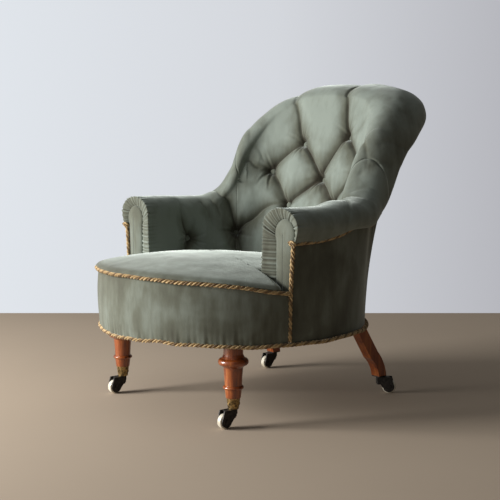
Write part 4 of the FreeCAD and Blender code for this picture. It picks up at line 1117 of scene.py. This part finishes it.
# The back's velvet carries painted shade: dark in its pleats and wells, pale on its crests.
back = cloth_from_grid("inside_back", back_face, 7, rise=painted_fold_shade(back_lift))
dress_velvet(back, "inside_back_pad")
facing_left = facing_face()
cover_turns = np.linspace(FOLD_ANGLE, 90 + math.degrees(COVER_FRONT / BASE_RADIUS), 110)
cover_left = cover_grid(cover_turns)
for side in ("left", "right"):
    left = side == "left"
    arm_grid, arm_painted_shade = arm_face(side)
    grids = (arm_grid, facing_left, cover_left)
    if not left:
        grids = [mirror_grid(grid) for grid in grids]
    arm = cloth_from_grid(f"arm_{side}", grids[0], 6, flip=not left, rise=arm_painted_shade)
    dress_velvet(arm, f"arm_pad_{side}")
    panel = cloth_from_grid(f"arm_front_{side}", grids[1], 3, flip=left)
    dress_velvet(panel, f"facing_{side}")
    cover = cloth_from_grid(f"arm_outside_{side}", grids[2], COVER_THICKNESS, flip=left)
    dress_velvet(cover, f"outside_arm_{side}")
back_cover = cover_grid(np.linspace(-FOLD_ANGLE, FOLD_ANGLE, 150))
back_outside = cloth_from_grid("back_outside", back_cover, COVER_THICKNESS, flip=True)
dress_velvet(back_outside, "outside_back_cover")
seat = fan_cloth("seat_top", seat_grid(), 6)
dress_velvet(seat, "seat_cover")
border = cloth_from_grid("seat_border", border_grid(), 3)
dress_velvet(border, "front_border")

CLOTH_RADIUS = 334
CLOTH_LEVEL = 202.6
CLOTH_SAG = 1.2


def bottom_sheet():
    """The dust cloth under the seat, tacked round its edge, with a slight sag."""
    rays, rings = 144, 26
    grid = np.zeros((rays, rings, 3))
    for i, angle in enumerate(np.linspace(0, 2 * math.pi, rays, endpoint=False)):
        for j, share in enumerate(np.linspace(0.02, 1, rings)):
            reach = (CLOTH_RADIUS - foot_tuck(angle)) * share
            sag = CLOTH_SAG * (1 - share ** 2)
            grid[i, j] = (reach * math.sin(angle), reach * math.cos(angle), CLOTH_LEVEL - sag)
    grid[..., 2] += 0.5 * wander(grid, 60, 6.6)
    sheet = fan_cloth("bottom_sheet", grid, 0.8)
    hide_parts("bottom_cloth")
    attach(sheet, "chair")
    sheet.data.materials.append(FINISHES["plain_cloth"])


bottom_sheet()


# Buttons

BUTTON_RISE = 6.5
BUTTON_RADIUS = 9
BUTTON_FLATNESS = 0.5


def buttons(name, places, node):
    """Covered buttons, each pressed into its well."""
    parts = []
    for place in places:
        turn, knot = spots[place]
        patch = tub_points([turn - 0.5, turn, turn + 0.5], [knot - 0.05, knot, knot + 0.05])
        normal = grid_normals(patch)[1, 1]
        lift = tuft(patch, grid_normals(patch))[1, 1]
        centre = patch[1, 1] + normal * (lift + BUTTON_RISE)
        bpy.ops.mesh.primitive_uv_sphere_add(segments=32, ring_count=16, radius=BUTTON_RADIUS * MM)
        made = bpy.context.active_object
        turned = Vector(normal).to_track_quat("Z", "Y").to_matrix().to_4x4()
        for vertex in made.data.vertices:
            vertex.co.z *= BUTTON_FLATNESS
        made.data.transform(turned)
        made.data.transform(Matrix.Translation(Vector(metres(centre))))
        parts.append(made)
    bpy.ops.object.select_all(action="DESELECT")
    for part in parts:
        part.select_set(True)
    bpy.context.view_layer.objects.active = parts[0]
    bpy.ops.object.join()
    whole = bpy.context.active_object
    whole.name = name
    whole.data.shade_smooth()
    whole.select_set(False)
    dress_velvet(whole, node)


buttons("buttons_back", BACK_BUTTONS, "back_buttons")
buttons("buttons_arm", ARM_BUTTONS, "arm_buttons")


# The ropes

HUMP_HEIGHT = 4.5
HUMP_TURN = 159
EDGE_TURN = 73.1
EDGE_DROP = 6.25
TOP_ROPE_OUT = 5
TOP_ROPE_DOWN = 3
FRONT_ROPE = 96.8
KNOT_SIZE = 6


def base_line():
    """The base rope's ring, from the back: tucked in a little at the front, wavy as a sewn cord is."""
    angles = np.linspace(0, 2 * math.pi, 721)
    line = []
    for a in angles:
        radius = BASE_RADIUS - foot_tuck(a)
        wave = 1.4 * math.sin(5 * a + 1) + 0.9 * math.sin(11 * a) + 0.5 * math.sin(23 * a)
        hump = HUMP_HEIGHT * math.exp(-(((math.degrees(a) - HUMP_TURN) / 6) ** 2))
        line.append((radius * math.sin(a), radius * math.cos(a), BASE_HEIGHT - 0.5 + wave + hump))
    return line


rope("rope_base", base_line(), "base_rope", closed=True)
edge_line = []
for turn in np.radians(np.linspace(-EDGE_TURN, EDGE_TURN, 200)):
    x, y = BASE_RADIUS * math.sin(turn), -BASE_RADIUS * math.cos(turn)
    wave = 0.9 * math.sin(9 * turn) + 0.5 * math.sin(21 * turn)
    edge_line.append((x, y, seat_height(x, y) - EDGE_DROP + wave))
rope("rope_seat_edge", edge_line, "seat_edge_rope")
top_line = []
top_end = 90 + math.degrees((COVER_FRONT + 3) / BASE_RADIUS)
for turn in np.linspace(-top_end, top_end, 400):
    station = Station(turn)
    reach, height = station.lip + TOP_ROPE_OUT, station.lip_height - TOP_ROPE_DOWN
    top_line.append(station.place(reach, height))
rope("rope_outer_top", top_line, "outer_top_rope")
front_end = Station(90 + math.degrees(FRONT_ROPE / BASE_RADIUS))
for side, sign in (("left", 1), ("right", -1)):
    heights = np.linspace(COVER_FOOT, front_end.lip_height - 4.5, 60)
    line = [(sign * (front_end.outside(height) + 1), -FRONT_ROPE, height) for height in heights]
    rope(f"rope_arm_front_{side}", line, f"arm_front_rope_{side}")
    rope_knot(f"rope_knot_{side}", np.array(line[-1]), KNOT_SIZE)


# Floor, wall, light and camera

def plain_finish(name, colour):
    """An even, matt finish with a faint tone."""
    finish = Finish(name, Roughness=0.85, Specular_IOR_Level=0.2)
    tone = clouds(finish.tree, own_place(finish.tree), 2.0, 3.0)
    darker = tuple(0.97 * channel for channel in colour)
    mixed = ramp(finish.tree, tone, ((0.3, darker), (0.7, colour)))
    finish.join(mixed, "Base Color")
    return finish.material


FLOOR_WIDTH = 9
FLOOR_AHEAD = 3.4
FLOOR_BEHIND = 1.30
VIEW_TURN = math.radians(50)
VIEW_DOWN = math.radians(6.14)
CAMERA_PLACE = (2.24249, -1.82119, 0.700)
LENS = 80.35
SENSOR = 36

bpy.ops.mesh.primitive_plane_add(size=1, location=(0, 0, FLOOR))
floor = bpy.context.active_object
floor.name = "floor"
floor.data.transform(Matrix.Diagonal((FLOOR_WIDTH, FLOOR_AHEAD + FLOOR_BEHIND, 1, 1)))
floor.data.transform(Matrix.Translation((0, (FLOOR_BEHIND - FLOOR_AHEAD) / 2, 0)))
floor.data.transform(Matrix.Rotation(VIEW_TURN, 4, "Z"))
floor.data.materials.append(plain_finish("floor", (0.44, 0.355, 0.27)))

camera_data = bpy.data.cameras.new("camera")
camera = bpy.data.objects.new("camera", camera_data)
bpy.context.scene.collection.objects.link(camera)
camera_data.sensor_width = SENSOR
camera_data.lens = LENS
camera.location = Vector(CAMERA_PLACE) + SEAT_AXIS
camera.rotation_euler = (math.pi / 2 - VIEW_DOWN, 0, VIEW_TURN)
bpy.context.scene.camera = camera


def soft_light(name, place, target, width, height, power, colour):
    """A large soft lamp aimed at a point."""
    data = bpy.data.lights.new(name, "AREA")
    data.shape = "RECTANGLE"
    data.size, data.size_y = width, height
    data.energy = power
    data.color = colour
    lamp = bpy.data.objects.new(name, data)
    bpy.context.scene.collection.objects.link(lamp)
    lamp.location = place
    lamp.rotation_euler = (Vector(target) - Vector(place)).to_track_quat("-Z", "Y").to_euler()


soft_light("window", (-1.35, -2.5, 1.0), (0, 0, 0.42), 1.2, 1.3, 150, (1.0, 0.995, 0.985))

world = bpy.data.worlds.new("room")
bpy.context.scene.world = world
world.use_nodes = True
sky = world.node_tree
background = sky.nodes["Background"]
rays = sky.nodes.new("ShaderNodeLightPath")
towards = add_node(sky, "TexCoord")


def lit_towards(direction, low, high, stops):
    """A colour that changes with how far a direction of the room points the given way."""
    facing = add_node(sky, "VectorMath", operation="DOT_PRODUCT")
    sky.links.new(towards.outputs["Generated"], facing.inputs[0])
    facing.inputs[1].default_value = direction
    share = add_node(sky, "MapRange", From_Min=low, From_Max=high, Value=facing.outputs["Value"])
    return ramp(sky, share.outputs["Result"], stops)


room = lit_towards((-0.60, -0.66, 0.45), -1.0, 1.0, (
    (0.25, (0.040, 0.035, 0.030)), (0.55, (0.13, 0.127, 0.122)), (1.0, (0.44, 0.455, 0.475)),
))
# The backdrop the camera sees has painted light: pale towards the window's side, darker away from it.
wall = lit_towards((-0.643, -0.766, 0), -0.22, 0.22, (
    (0.0, (0.47, 0.475, 0.51)), (0.45, (0.66, 0.68, 0.72)), (1.0, (0.75, 0.785, 0.83)),
))
shown = add_node(sky, "MixRGB", Fac=rays.outputs["Is Camera Ray"], Color1=room, Color2=wall)
sky.links.new(shown.outputs["Color"], background.inputs["Color"])

scene = bpy.context.scene
scene.view_settings.view_transform = "Standard"
